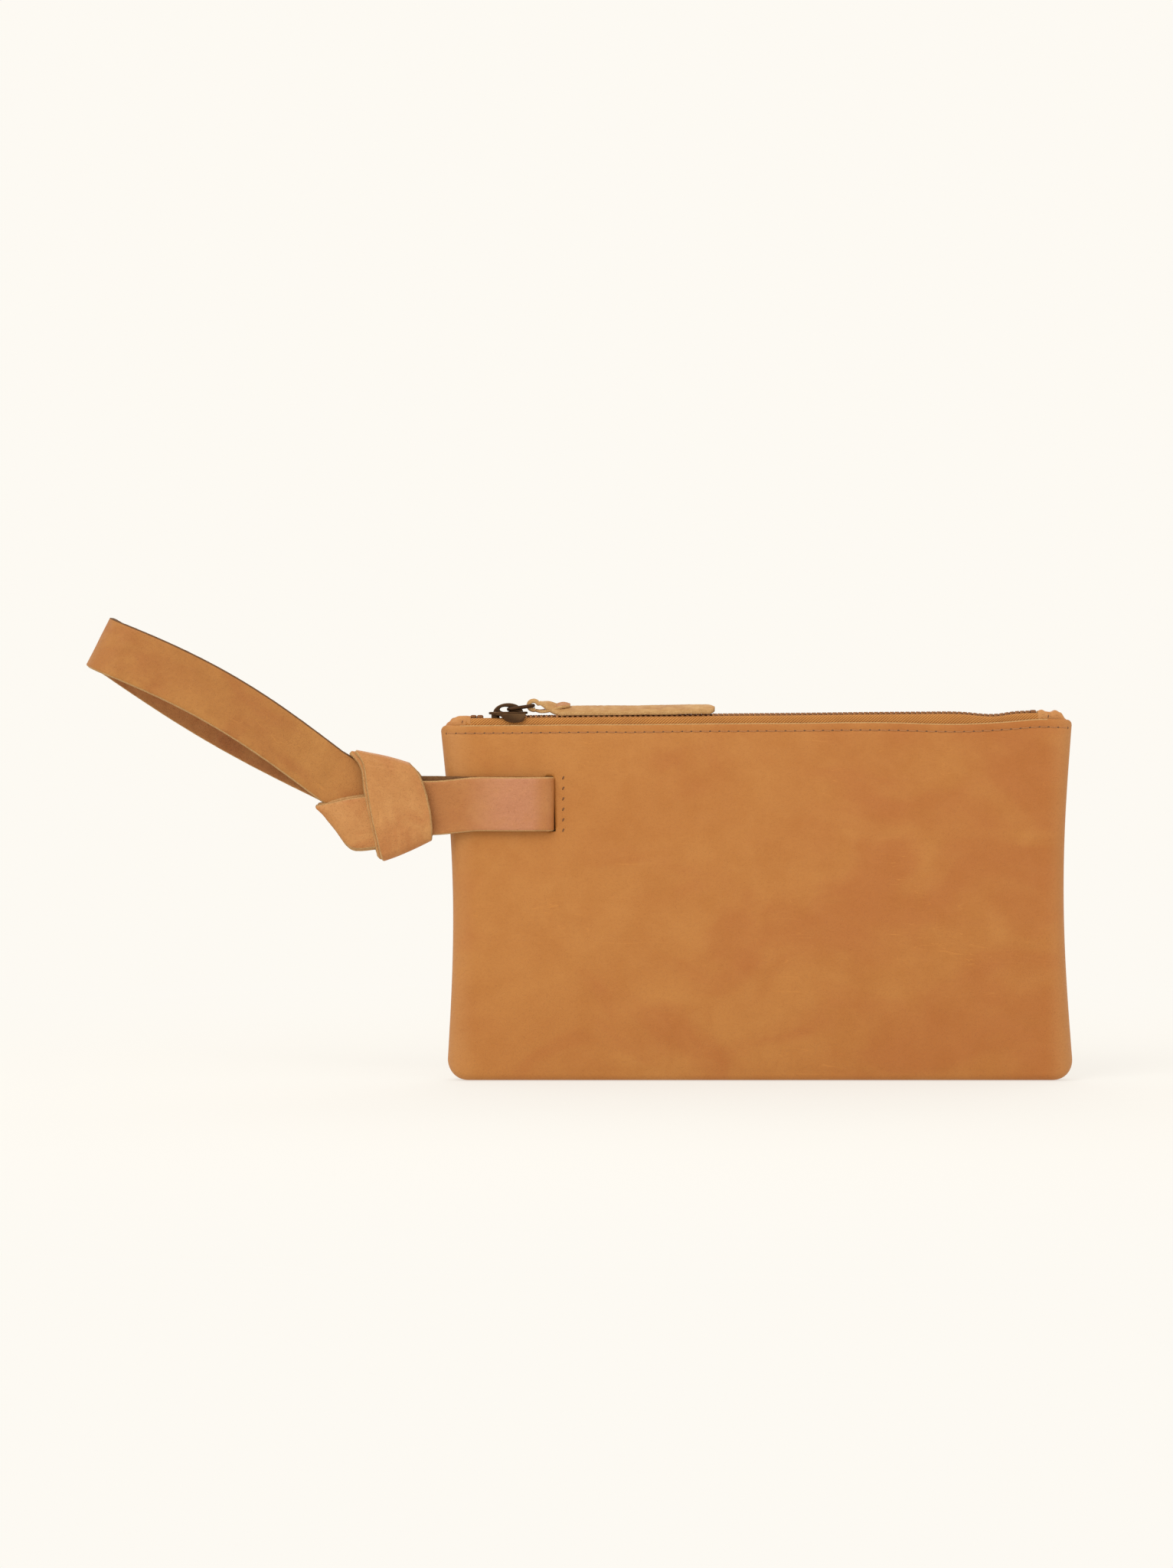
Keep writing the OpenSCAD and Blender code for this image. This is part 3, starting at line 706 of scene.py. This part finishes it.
def crimps(name, node, r, boxes):
    """The stops at an end of the chain: boxes (x0, x1, y0, y1), a little higher than the teeth."""
    build = Build()
    for x0, x1, y0, y1 in boxes:
        sections = []
        for inset, z in rim(TOOTH_LOW - 0.0001, TOOTH_HIGH + 0.0002, r, 5):
            inset = min(inset, 0.98 * r)
            plan = rounded_box(x0 + inset, y0 + inset, x1 - inset, y1 - inset, r - inset, 5)
            sections.append([on_mouth((x, y, z)) for x, y in plan])
        rings(build, sections)
    build.make(name, "pouch", [node], [TEETH_METAL])


# ---- end tabs and stitches ----
STITCH_PITCH, STITCH_FROM, STITCH_COUNT = 0.0036, -0.1202, 66
HOLE_R = 0.00042  # a needle hole
TAB_STITCH_X = (-0.1142, 0.1102)
LEFT_TAB_TOP = [(-0.1214, -0.0006), (-0.1198, 0.0013), (-0.1178, 0.0030), (-0.1152, 0.0037),
                (-0.1128, 0.0038), (-0.1110, 0.0036)]
RIGHT_TAB_TOP = [(0.1062, 0.0036), (0.1078, 0.0041), (0.1095, 0.0034), (0.1112, 0.0032),
                 (0.1130, 0.0039), (0.1150, 0.0030), (0.1172, 0.0004)]


def tab_half(x):
    """Half the width of what lies between the two panels at the mouth."""
    return half_thickness(x + LEAN, POUCH_H) - LEATHER_T * 0.9


def end_tab(name, node, stations, stitch_x):
    """Leather folded over an end of the zip; stations give the height of its top along x."""
    build = Build()
    sections = []
    for i in range(27):
        x = mix(stations[0][0], stations[-1][0], i / 26)
        before = [s for s in stations[:-1] if s[0] <= x + 1e-9]
        (x0, top0), (x1, top1) = before[-1], stations[len(before)]
        top = mix(top0, top1, ease((x - x0) / (x1 - x0)))
        half = clamp(tab_half(x), 0.0011, TAPE_FACE)
        r = min(0.0019, half * 0.8)
        heights = [mix(-0.0078, top - r, q / 4) for q in range(4)]
        ring = [(-half, h) for h in heights]
        ring += arc(r - half, top - r, r, 2 * QUARTER, -QUARTER, 6)
        ring += arc(half - r, top - r, r, QUARTER, -QUARTER, 6)
        ring += [(half, h) for h in reversed(heights)]
        section = []
        for y, h in ring:
            rough_y = y * (1 + 0.05 * cloud(x, y, h, 0.004, 2.0))
            rough_h = h + (0.00012 * cloud(x, y, 0, 0.003, 1.0) if h > 0.001 else 0)
            if abs(rough_y) > 0.3 * half:
                # the stitch pulls the leather in
                pull_in = 0.00012 * bell(x, stitch_x, 0.0009) * bell(rough_h, 0.0013, 0.0011)
                rough_y -= math.copysign(pull_in, rough_y)
            section.append(on_mouth((x, rough_y, rough_h)))
        sections.append(section)
    rings(build, sections, [0] * len(sections[0]), 1)
    build.make(name, "pouch", [node], [KNOT_LEATHER, EDGE])


def stitch(build, a, b, out, r, sink=0.00045):
    """One stitch of thread from a to b, lying on the leather and dipping in at its ends."""
    points = []
    for k in range(9):
        t = k / 8
        rise = 0.00008 * math.sin(math.pi * t) - sink * (1 - ease(min(t, 1 - t) / 0.16))
        points.append(a.lerp(b, t) + out * rise)
    wire(build, points, r, 8)


def topstitch(side):
    """The running stitch along the mouth, with the needle holes that its stitches share."""
    build = Build()
    out = Vector((0, side, 0))
    slant = Vector((0, 0, 0.0001))

    def on_row(x):
        z = mouth_z(x) + mouth_wave(x + LEAN, side) - STITCH_DROP
        z += 0.00010 * cloud(x, side, 0, 0.01, 1.3)
        return Vector((x, panel_face(x, z, side), z))

    for k in range(STITCH_COUNT + 1):
        x = STITCH_FROM + k * STITCH_PITCH + 0.00018 * cloud(k, side, 0, 0.7)
        hole = on_row(x)
        # each needle hole is a short dark plug: painted shade in the hole
        wire(build, [hole - out * 0.0004, hole + out * 0.00006], HOLE_R, 10, mat=1)
        if k < STITCH_COUNT:
            start, end = on_row(x + HOLE_R * 0.7), on_row(x + STITCH_PITCH - HOLE_R * 0.7)
            stitch(build, start + slant, end - slant, out, 0.00027)
    build.make(sided(side, "mouth_stitches"), "pouch", [sided(side, "topstitch")],
               [THREAD, HOLE_SHADE_THREAD])


def tab_stitches():
    build = Build()
    for x in TAB_STITCH_X:
        for side in (-1, 1):
            y = side * (min(tab_half(x), TAPE_FACE) - 0.0002)
            stitch(build, on_mouth((x - 0.0002, y, 0.0008)), on_mouth((x + 0.0001, y, 0.0021)),
                   Vector((0, side, 0)), 0.0002)
    build.make("tab_stitches", "pouch", ["end_tab_stitches"], [HOLE_SHADE_THREAD])


# ---- slider, link and pull ----
def slab(build, outline, z0, z1, r, place):
    """A plate with an outline and rounded rims; place takes (a, b, height) into the object's frame."""
    area = sum(a[0] * b[1] - b[0] * a[1] for a, b in zip(outline, outline[1:] + outline[:1]))
    turn = math.copysign(1, area)
    corners = [Vector(p) for p in outline]
    ways = [heading(corners, k, True) for k in range(len(corners))]
    sections = []
    for inset, z in rim(z0, z1, r, 4):
        sections.append([place((x - t.y * turn * inset, y + t.x * turn * inset, z))
                         for (x, y), t in zip(outline, ways)])
    rings(build, sections)


def slider():
    """The slider: its upper and lower plate, two flanges and a divider post, and the arch on top."""
    def top_view(p):
        return on_mouth((SLIDER_X + p[0], p[1], p[2]))

    build = Build()
    plate = []
    for c, s in circle(72):
        x = SLIDER_L / 2 * signed_power(c, 0.62)
        half = PLATE_W / 2 * (0.93 + 0.07 * math.cos(math.pi * (x / SLIDER_L + 0.5)))
        half *= 1 - 0.05 * bell(x, 0, 0.0025)
        plate.append((x, half * signed_power(s, 0.62)))
    slab(build, plate, PLATE_LOW, PLATE_LOW + PLATE_T, 0.00042, top_view)
    slab(build, [(x * 0.93, y * 0.50) for x, y in plate], -0.0001, 0.0003, 0.0001, top_view)
    lower = [(-0.0062, 0.0040), (-0.0048, 0.0039), (-0.0030, 0.0034), (-0.0016, 0.0023),
             (-0.0002, 0.0013), (0.0024, 0.0009), (0.0048, 0.0011), (0.0060, 0.0018), (0.0066, 0.0030)]
    flange = [tuple(p) for p in smooth_path(lower, 5)] + [(0.0067, 0.0044), (-0.0064, 0.0044)]
    for side in (-1, 1):

        def side_view(p, side=side):
            return on_mouth((SLIDER_X + p[0], side * p[2], p[1]))

        slab(build, flange, 0.00375, 0.00455, 0.00022, side_view)
    post = [(POST_X + 0.0016 * c, 0.0008 * s) for c, s in circle(24)]
    slab(build, post, 0.0001, PLATE_LOW + 0.0003, 0.0001, top_view)
    build.make("slider_casting", "slider", ["slider_body"], [METAL])

    # the arch on top: each section reaches from the hole's edge to the arch's outside
    build = Build()
    sections = []
    for c, up in circle(64):
        hole = Vector((-0.0011 + 0.0021 * c, 0, 0.00605 + 0.00095 * up))
        outside = Vector((0.0058 * c, 0, 0.0046 + 0.00385 * up if up > 0 else 0.0045))
        reach = outside - hole
        ring = [hole + reach.normalized() * u + Vector((0, v, 0))
                for u, v in rounded_box(0, -ARCH_HALF, reach.length, ARCH_HALF, 0.00045, 4)]
        sections.append([on_mouth((SLIDER_X + p.x, p.y, p.z)) for p in ring])
    rings(build, sections, closed=True)
    build.make("slider_arch", "slider", ["slider_bail"], [METAL])


def link():
    length = math.dist(LINK_PIN, EYE_PIN)
    ux, uz = (EYE_PIN[0] - LINK_PIN[0]) / length, (EYE_PIN[1] - LINK_PIN[1]) / length
    points = [on_mouth((LINK_PIN[0] + u * ux, v, LINK_PIN[1] + u * uz))
              for u, v in rounded_box(0, -LINK_HALF, length, LINK_HALF, 0.0013, 6)]
    build = Build()
    wire(build, points, LINK_R, 12, closed=True)
    build.make("link_wire", "link", ["pull_link"], [METAL])


def band(build, path, across, width, thick, mats=(0, 1, 2), seed=0.0, closed=False, cells=14, cup=0.0,
         fray=0.00006, slant=0.0, crease=0.0):
    """A leather band along a path. across is its width direction at each point, width may be a list,
    and mats are the finishes of its outer face, its inner face and the cut edges at + and - across."""
    sections, flat = [], []
    run = 0.0
    steps = [mix(-1, 1, k / cells) for k in range(cells + 1)]
    for i, place in enumerate(path):
        if i:
            run += (place - path[i - 1]).length
        a = across[i].normalized()
        out = heading(path, i, closed).cross(a).normalized()
        w = (width[i] if isinstance(width, list) else width) / 2
        soft = min(0.0003, thick * 0.3, w * 0.3)
        top = max(w - slant, w * 0.5)
        ring = [(v * (top - soft), thick / 2) for v in steps]
        ring += [(top, thick / 2 - soft), (w, -thick / 2 + soft)]
        ring += [(-v * (w - soft), -thick / 2) for v in steps]
        ring += [(-w, -thick / 2 + soft), (-top, thick / 2 - soft)]
        section = []
        for v, h in ring:
            edge = abs(v) / w
            ripple = 0.00018 * cloud(run, v, seed, 0.011, seed + 1.0)
            ripple += crease * cloud(run, v * 0.12, seed, 0.0013, seed + 4.0)
            rough = fray * cloud(run, h, seed, 0.0012, seed + 2.0) * (edge > 0.9)
            drop = cup * edge ** 2
            section.append(place + a * (v + math.copysign(rough, v)) + out * (h + ripple - drop))
            flat.append((run, v + seed, h))
        sections.append(section)
    kinds = [mats[0]] * cells + [mats[2]] * 3 + [mats[1]] * cells + [mats[-1]] * 3
    rings(build, sections, kinds, mats[2], flat, closed)


def pull():
    """The leather pull: looped through the link, hitched through its own slit, and lying on the chain."""
    eye = Vector((EYE_PIN[0], 0, EYE_PIN[1]))
    path, across, width = [], [], []
    for k in range(19):
        s = k / 18
        a = math.radians(-60 - 275 * s)
        r = mix(0.00185, 0.0021, s)
        path.append(eye + Vector((r * math.cos(a) + 0.0001, 0.0004 * s, r * math.sin(a))))
        across.append(Vector((0, 1, 0)))
        width.append(PULL_NECK)
    start = path[-1].copy()
    steps = 96
    for k in range(1, steps + 1):
        s = k / steps
        x = start.x + PULL_L * s
        gone = x - start.x
        settle = ease((gone - 0.0002) / 0.0095)
        wave = 0.00010 * cloud(x, 0, 0, 0.018, 6.6) * ease((s - 0.15) * 5)
        tilt = math.radians(mix(0, 44, ease(gone / 0.0050)) - 20 * ease((gone - 0.0050) / 0.0060))
        tilt += math.radians(5) * cloud(x, 3, 0, 0.02) * settle
        height = mix(start.z + 0.0002, PULL_REST, settle) + wave
        path.append(Vector((x, 0.0004 * cloud(x, 1, 0, 0.03, 1.1), height)))
        across.append(Vector((0, math.cos(tilt), math.sin(tilt))))
        tip = math.sqrt(clamp(1 - (1 - clamp((PULL_L - gone) / 0.0034)) ** 2, 0.02, 1))
        width.append(mix(PULL_NECK, PULL_W, ease((gone - 0.001) / 0.010)) * tip)
    build = Build()
    band(build, [on_mouth(p) for p in path], across, width, PULL_T, (0, 0, 1), seed=0.31, cells=10,
         slant=0.0002, crease=0.0001, cup=0.0004)
    # the hitch: the short end comes back through the slit and lies folded on the strip
    hitch = [(0.0010, 0.0056, 0.0040), (0.0028, 0.0052, 0.0048), (0.0050, 0.0054, 0.0052),
             (0.0072, 0.0060, 0.0052), (0.0096, 0.0070, 0.0050), (0.0118, 0.0074, 0.0044),
             (0.0142, 0.0072, 0.0020)]  # (along, height, width)
    fine = smooth_path(hitch, 5)
    turns = [0.5 * k / len(fine) for k in range(len(fine))]
    band(build, [on_mouth((eye.x + p.x, 0.0010, p.y)) for p in fine],
         [Vector((0, math.cos(a), math.sin(a))) for a in turns], [p.z for p in fine], 0.0012, (2, 0, 1),
         seed=0.37, cells=8)
    build.make("pull_strip", "pull", ["leather_pull"], [PULL_LEATHER, EDGE, LOOP_LEATHER])


# ---- strap, knot and wrist loop ----
STACK_Y = -0.00787  # middle of the strap's two layers beside the pouch
LAYER_OFF = 0.00075  # middle of the double strap to the middle of one layer
LAYER_GAP = 0.00025  # between leather faces that lie on each other
STRAP_END_X, KNOT_END_X = -0.066, -0.1478  # the two ends of the straight strap
EDGE_FLAT_X = -0.106  # left of this the strap no longer follows the panel's rounding
SLOT_BEND = 0.0023  # radius of the strap's bends in the slot
STITCH_COL_X = -0.0756
STRAP_HINGE_X = -0.1225
LOOP_SLOPE = math.radians(26.6)
LOOP_ROOT = Vector((-0.164, STACK_Y, 0.1167))
LOOP_DIR = Vector((-math.cos(LOOP_SLOPE), 0, math.sin(LOOP_SLOPE)))
LOOP_WIDE = Vector((math.sin(LOOP_SLOPE), 0, math.cos(LOOP_SLOPE)))
LOOP_L, LOOP_R = 0.102, 0.013
LOOP_INSIDE = -0.0150  # how far inside the knot the loop's two runs start
LOOP_NECK = 0.001  # half the runs' distance at the knot
WRAP_H = 0.04  # height of the knot's wrap
BAND_W = STRAP_W - 0.0002  # the strap as it is drawn, just clear of the slot's ends
STRAP_MATERIALS = [STRAP_LEATHER, INNER_LEATHER, EDGE, PAINTED_SHADE_EDGE]
KNOT_MATERIALS = [KNOT_LEATHER, INNER_LEATHER, EDGE]
STRAP_SIDES = (STRAP_Z - STRAP_W / 2, STRAP_Z, STRAP_Z + STRAP_W / 2)


def strap_middle(x):
    """Y of the double strap's middle where it runs over the front panel and on to the knot."""
    under = max(abs(panel_face(max(x, EDGE_FLAT_X), z, -1)) for z in STRAP_SIDES)
    lying = -(under + LAYER_GAP + 2 * LAYER_OFF - 0.00005)
    return mix(lying, STACK_Y, ease((-0.108 - x) / 0.0115))


def strap_line():
    """The double strap's middle from its sewn end, through the slot, to the knot: (x, y, direction)."""
    slot_x, r = SLOT_MID + 0.00015, SLOT_BEND
    inner = -min(abs(panel_face(slot_x, z, -1)) for z in STRAP_SIDES[::2])
    inner += LEATHER_T + LAYER_GAP + 2 * LAYER_OFF
    outer = strap_middle(slot_x - r)
    line = [(mix(STRAP_END_X, slot_x + r, k / 12), inner, 2 * QUARTER) for k in range(12)]
    for k, (x, y) in enumerate(arc(slot_x + r, inner - r, r, QUARTER, QUARTER, 10)):
        line.append((x, y, QUARTER * (2 + k / 10)))
    line.append((slot_x, (inner + outer) / 2, 3 * QUARTER))
    for k, (x, y) in enumerate(arc(slot_x - r, outer + r, r, 0, -QUARTER, 10)):
        line.append((x, y, QUARTER * (3 - k / 10)))
    steps = 100
    for k in range(1, steps + 1):
        x = mix(slot_x - r, KNOT_END_X, k / steps)
        lift = 0.00016 * (1 + cloud(x, 0, 0, 0.02, 8.1)) * ease((slot_x - r - x) / 0.01)
        line.append((x, strap_middle(x) - lift, 2 * QUARTER))
    return line


def strap_layer(name, nodes, front):
    """One layer of the strap. front is 1 for the outer layer on the panel and -1 for the one behind it."""
    if front > 0:
        most_slip, mats, seed = -0.0016, (0, 1, 2, 2), 0.11
    else:
        # the under layer's inner face and upper edge take the painted shade (material 3), standing for the
        # shadow between the layers
        most_slip, mats, seed = 0.0003, (0, 3, 3, 2), 0.23
    path = []
    for x, y, way in strap_line():
        off = LAYER_OFF * front
        slip = most_slip * ease((-0.106 - x) / 0.020) * ease((x + 0.146) / 0.010)
        wander = 0.00022 * cloud(x, front, 0, 0.03, 3.3) * ease((-0.084 - x) / 0.01)
        path.append(Vector((x - off * math.sin(way), y + off * math.cos(way), STRAP_Z + slip + wander)))
    build = Build()
    band(build, path, [Vector((0, 0, -front))] * len(path), BAND_W, STRAP_T, mats, seed=seed, cells=18,
         slant=0.00022)
    bend = [Vector((STRAP_HINGE_X + d, STACK_Y, STRAP_Z)) for d in (0.0035, -0.0035)]
    build.make(name, ("pouch", "strap", *bend), nodes, STRAP_MATERIALS)


def strap_thread():
    build = Build()
    # dark stitches, painted as the shade of their needle holes
    for k in range(6):
        z = STRAP_Z + (k - 2.5) * 0.004
        ends = [Vector((STITCH_COL_X + d * 0.45, panel_face(STITCH_COL_X, z + d, -1), z + d))
                for d in (-0.0005, 0.0005)]
        stitch(build, ends[0], ends[1], Vector((0, -1, 0)), 0.00024, 0.0002)
    build.make("strap_sewing", "pouch", ["strap_stitches"], [HOLE_SHADE_THREAD])


def knot_wrap():
    """The doubled band that wraps the strap: an outer and an inner layer, each a closed flattened ring."""
    left = [(-0.1446, 0.0838), (-0.1465, 0.0909), (-0.1485, 0.0997), (-0.1505, 0.1112), (-0.1522, 0.1213),
            (-0.1552, 0.1268)]
    right = [(-0.1254, 0.0924), (-0.1254, 0.0975), (-0.1262, 0.1044), (-0.1282, 0.1125), (-0.1306, 0.1179),
             (-0.1342, 0.1216)]
    left, right = smooth_path(left, 24), smooth_path(right, 24)

    def edge(points, s):
        """The point of a side of the wrap at a share s of the way up it."""
        at = clamp(s) * (len(points) - 1)
        k = min(int(at), len(points) - 2)
        return points[k].lerp(points[k + 1], at - k)

    build = Build()
    count = 190
    for depth, inset, wider, seed in ((0.0063, 0.0007, 0.0, 0.51), (0.0048, 0.0022, 0.0011, 0.63)):
        path, across, width = [], [], []
        for i in range(count):
            a = 2 * math.pi * i / count - QUARTER
            s = 0.5 + 0.5 * signed_power(math.sin(a), 0.72)
            s = mix(inset / WRAP_H, 1 - inset / WRAP_H, s)
            y = -depth * signed_power(math.cos(a), 0.5)
            lo, hi = edge(left, s), edge(right, s)
            way = (hi - lo).normalized()
            front = ease(0.5 - y / depth / 2)
            reach = wider * (1 + 1.8 * ease((s - 0.72) / 0.2))
            lo = lo - way * (reach * front + 0.0004 * cloud(s, y, 0, 0.25, seed))
            hi = hi - way * (wider * 0.8 * front)
            mid = (lo + hi) / 2
            path.append(Vector((mid.x, STACK_Y + y, mid.y)))
            across.append(Vector((-way.x, 0, -way.y)))
            width.append((hi - lo).length)
        band(build, path, across, width, STRAP_T, seed=seed, closed=True, cells=20, slant=0.0004,
             crease=0.00013, fray=0.00016, cup=0.0005)
    build.make("knot_band", "strap", ["knot_wrap"], KNOT_MATERIALS)


def knot_tuck():
    """The strap's doubled end, tucked under the wrap and sticking out below the loop."""
    # its upper and lower edge, from under the wrap out to the tip
    top = [(-0.1465, -0.0050, 0.1098), (-0.157, -0.0056, 0.1084), (-0.164, -0.0047, 0.1069),
           (-0.1702, -0.0030, 0.1056)]
    low = [(-0.1470, -0.0050, 0.0893), (-0.1565, -0.0055, 0.0893), (-0.1630, -0.0046, 0.0968),
           (-0.1692, -0.0030, 0.1036)]
    build = Build()
    for layer, seed in ((0, 0.71), (1, 0.83)):
        # the layer behind shows past the upper and the lower edge, and ends a little sooner
        back = 0.0012 + layer * (STRAP_T + LAYER_GAP)
        grow = 0.0007 * layer
        lines = []
        for edge, lift in ((top, grow), (low, -grow)):
            points = [[x, STACK_Y + y + back, z + lift] for x, y, z in edge]
            points[-1][0] += grow
            lines.append(smooth_path(points, 14))
        pairs = list(zip(*lines))
        band(build, [(p + q) / 2 for p, q in pairs], [q - p for p, q in pairs],
             [(q - p).length for p, q in pairs], STRAP_T, seed=seed, cells=16, slant=0.0003,
             crease=0.00006, fray=0.00016, cup=0.0007)
    build.make("knot_end", "strap", ["knot_tuck"], KNOT_MATERIALS)


def loop_place(along, half, front):
    """A point of the loop's middle line; front is 1 on the near run and -1 on the far one."""
    arch = mix(-0.0026, 0.0045, (front + 1) / 2)
    shift = 0.0062 * along / LOOP_L + arch * math.sin(math.pi * clamp(along / LOOP_L))
    return LOOP_ROOT + along * LOOP_DIR + Vector((0, -half * front, 0)) + shift * LOOP_WIDE


def wrist_loop():
    straight = LOOP_L - LOOP_R

    def run(front):
        points = []
        for k in range(90):
            along = mix(LOOP_INSIDE, straight, k / 90)
            half = LOOP_NECK + (LOOP_R - LOOP_NECK) * math.sin(QUARTER * clamp(along / straight))
            half = mix(0.00085, half, ease((along - LOOP_INSIDE) / 0.015))
            drift = 0.0006 * cloud(along, front, 0, 0.05, 6.1) * ease(along / 0.03)
            points.append(loop_place(along, half + drift, front))
        return points

    turn = [loop_place(along, 0, -y / LOOP_R) + Vector((0, y, 0))
            for along, y in arc(straight, 0, LOOP_R, -QUARTER, 2 * QUARTER, 44)]
    path = run(1) + turn + run(-1)[::-1]
    build = Build()
    # the loop's upper cut edge takes the painted shade (material 3)
    band(build, path, [-LOOP_WIDE] * len(path), BAND_W, STRAP_T, (0, 1, 2, 3), seed=0.91, cells=20,
         slant=0.00028, fray=0.0001)
    bend = [LOOP_ROOT + LOOP_DIR * d for d in (-0.004, 0.004)]
    build.make("loop_band", ("strap", "loop", *bend), ["wrist_loop"],
               [LOOP_LEATHER, *STRAP_MATERIALS[1:]])


panel(-1)
panel(1)
for end in (-1, 1):
    tape(end)
    zip_teeth(end)
    topstitch(end)
crimps("top_crimps", "top_stops", 0.0007, [(-0.1087, -0.1062, -0.00225, -0.00025),
                                           (-0.1113, -0.1088, 0.00025, 0.00225)])
crimps("bottom_crimp", "bottom_stop", 0.0006, [(0.1035, 0.1057, -0.0022, 0.0022)])
end_tab("left_tab", "left_end_tab", LEFT_TAB_TOP, TAB_STITCH_X[0])
end_tab("right_tab", "right_end_tab", RIGHT_TAB_TOP, TAB_STITCH_X[1])
tab_stitches()
slider()
link()
pull()
strap_layer("strap_outer_layer", ["strap_tail_front", "strap_run_front"], 1)
strap_layer("strap_under_layer", ["strap_tail_back", "strap_run_back"], -1)
strap_thread()
knot_wrap()
knot_tuck()
wrist_loop()
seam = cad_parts["side_seam_thread"]
seam.data.materials.clear()
seam.data.materials.append(THREAD)


# ---- camera, floor and light ----
def camera():
    frame_height = 0.602  # height of the whole picture at the object's distance
    distance = 1.6
    sensor = 0.036
    rise = math.radians(1.2)
    look_at = Vector((-0.0667, 0.0, 0.1135))
    data = bpy.data.cameras.new("camera")
    data.sensor_width = sensor * 1000
    data.lens = sensor * 1000 * distance / frame_height
    data.clip_start, data.clip_end = 0.05, 60
    cam = add_object("camera", data)
    aim(cam, look_at + distance * Vector((0, -math.cos(rise), math.sin(rise))), look_at)
    bpy.context.scene.camera = cam


BACKDROP = (0.985, 0.955, 0.895)


def floor():
    """A pale round floor that melts into the background towards its rim."""
    count, radii = 96, [0.0, 0.3, 0.8, 1.6, 3.0, 6.0, 12.0, 25.0]
    verts, faces = [(0, 0, 0)], []
    for r in radii[1:]:
        verts += [(r * c, r * s, 0) for c, s in circle(count)]
    for k in range(count):
        faces.append((0, 1 + k, 1 + (k + 1) % count))
        for ring in range(len(radii) - 2):
            a, b = 1 + ring * count, 1 + (ring + 1) * count
            faces.append((a + k, b + k, b + (k + 1) % count, a + (k + 1) % count))
    mesh = bpy.data.meshes.new("floor")
    mesh.from_pydata(verts, [], faces)
    obj = add_object("floor", mesh)
    obj.location = (0, 0, -0.0002)
    s = Shader("floor")
    s.set(Base_Color=(0.78, 0.76, 0.72), Roughness=0.95, Specular_IOR_Level=0.1)
    far = s.node("VectorMath", "Value", operation="LENGTH", Vector=s.place())
    mixer = s.tree.nodes.new("ShaderNodeMixShader")
    s.put(mixer.inputs[0], s.ramp(far, 0.12, 0.55, 0.66, 1.0))
    s.put(mixer.inputs[1], s.bsdf.outputs[0])
    s.put(mixer.inputs[2], s.node("Emission", 0, Color=BACKDROP))
    s.put(s.out.inputs[0], mixer.outputs[0])
    mesh.materials.append(s.mat)


MIDDLE = (-0.05, 0, 0.08)  # what the lights are aimed at


def softbox(name, place, size, power, colour=(1, 1, 1)):
    data = bpy.data.lights.new(name, "AREA")
    data.shape, data.size, data.size_y = "RECTANGLE", size[0], size[1]
    data.energy, data.color = power, colour
    aim(add_object(name, data), place, MIDDLE)


def light():
    world = bpy.data.worlds.new("studio")
    world.use_nodes = True
    background = world.node_tree.nodes["Background"]
    background.inputs["Color"].default_value = (*BACKDROP, 1)
    background.inputs["Strength"].default_value = 1.0
    bpy.context.scene.world = world
    softbox("key", (-0.75, -1.0, 1.15), (0.9, 0.9), 9.5, (1.0, 0.97, 0.93))
    softbox("fill", (1.1, -1.2, 0.5), (1.2, 1.2), 3, (1.0, 0.98, 0.96))
    softbox("rim", (0.2, 1.2, 1.1), (1.2, 0.8), 4)


camera()
floor()
light()
bpy.context.scene.view_settings.view_transform = "Standard"
bpy.context.scene.view_settings.look = "None"
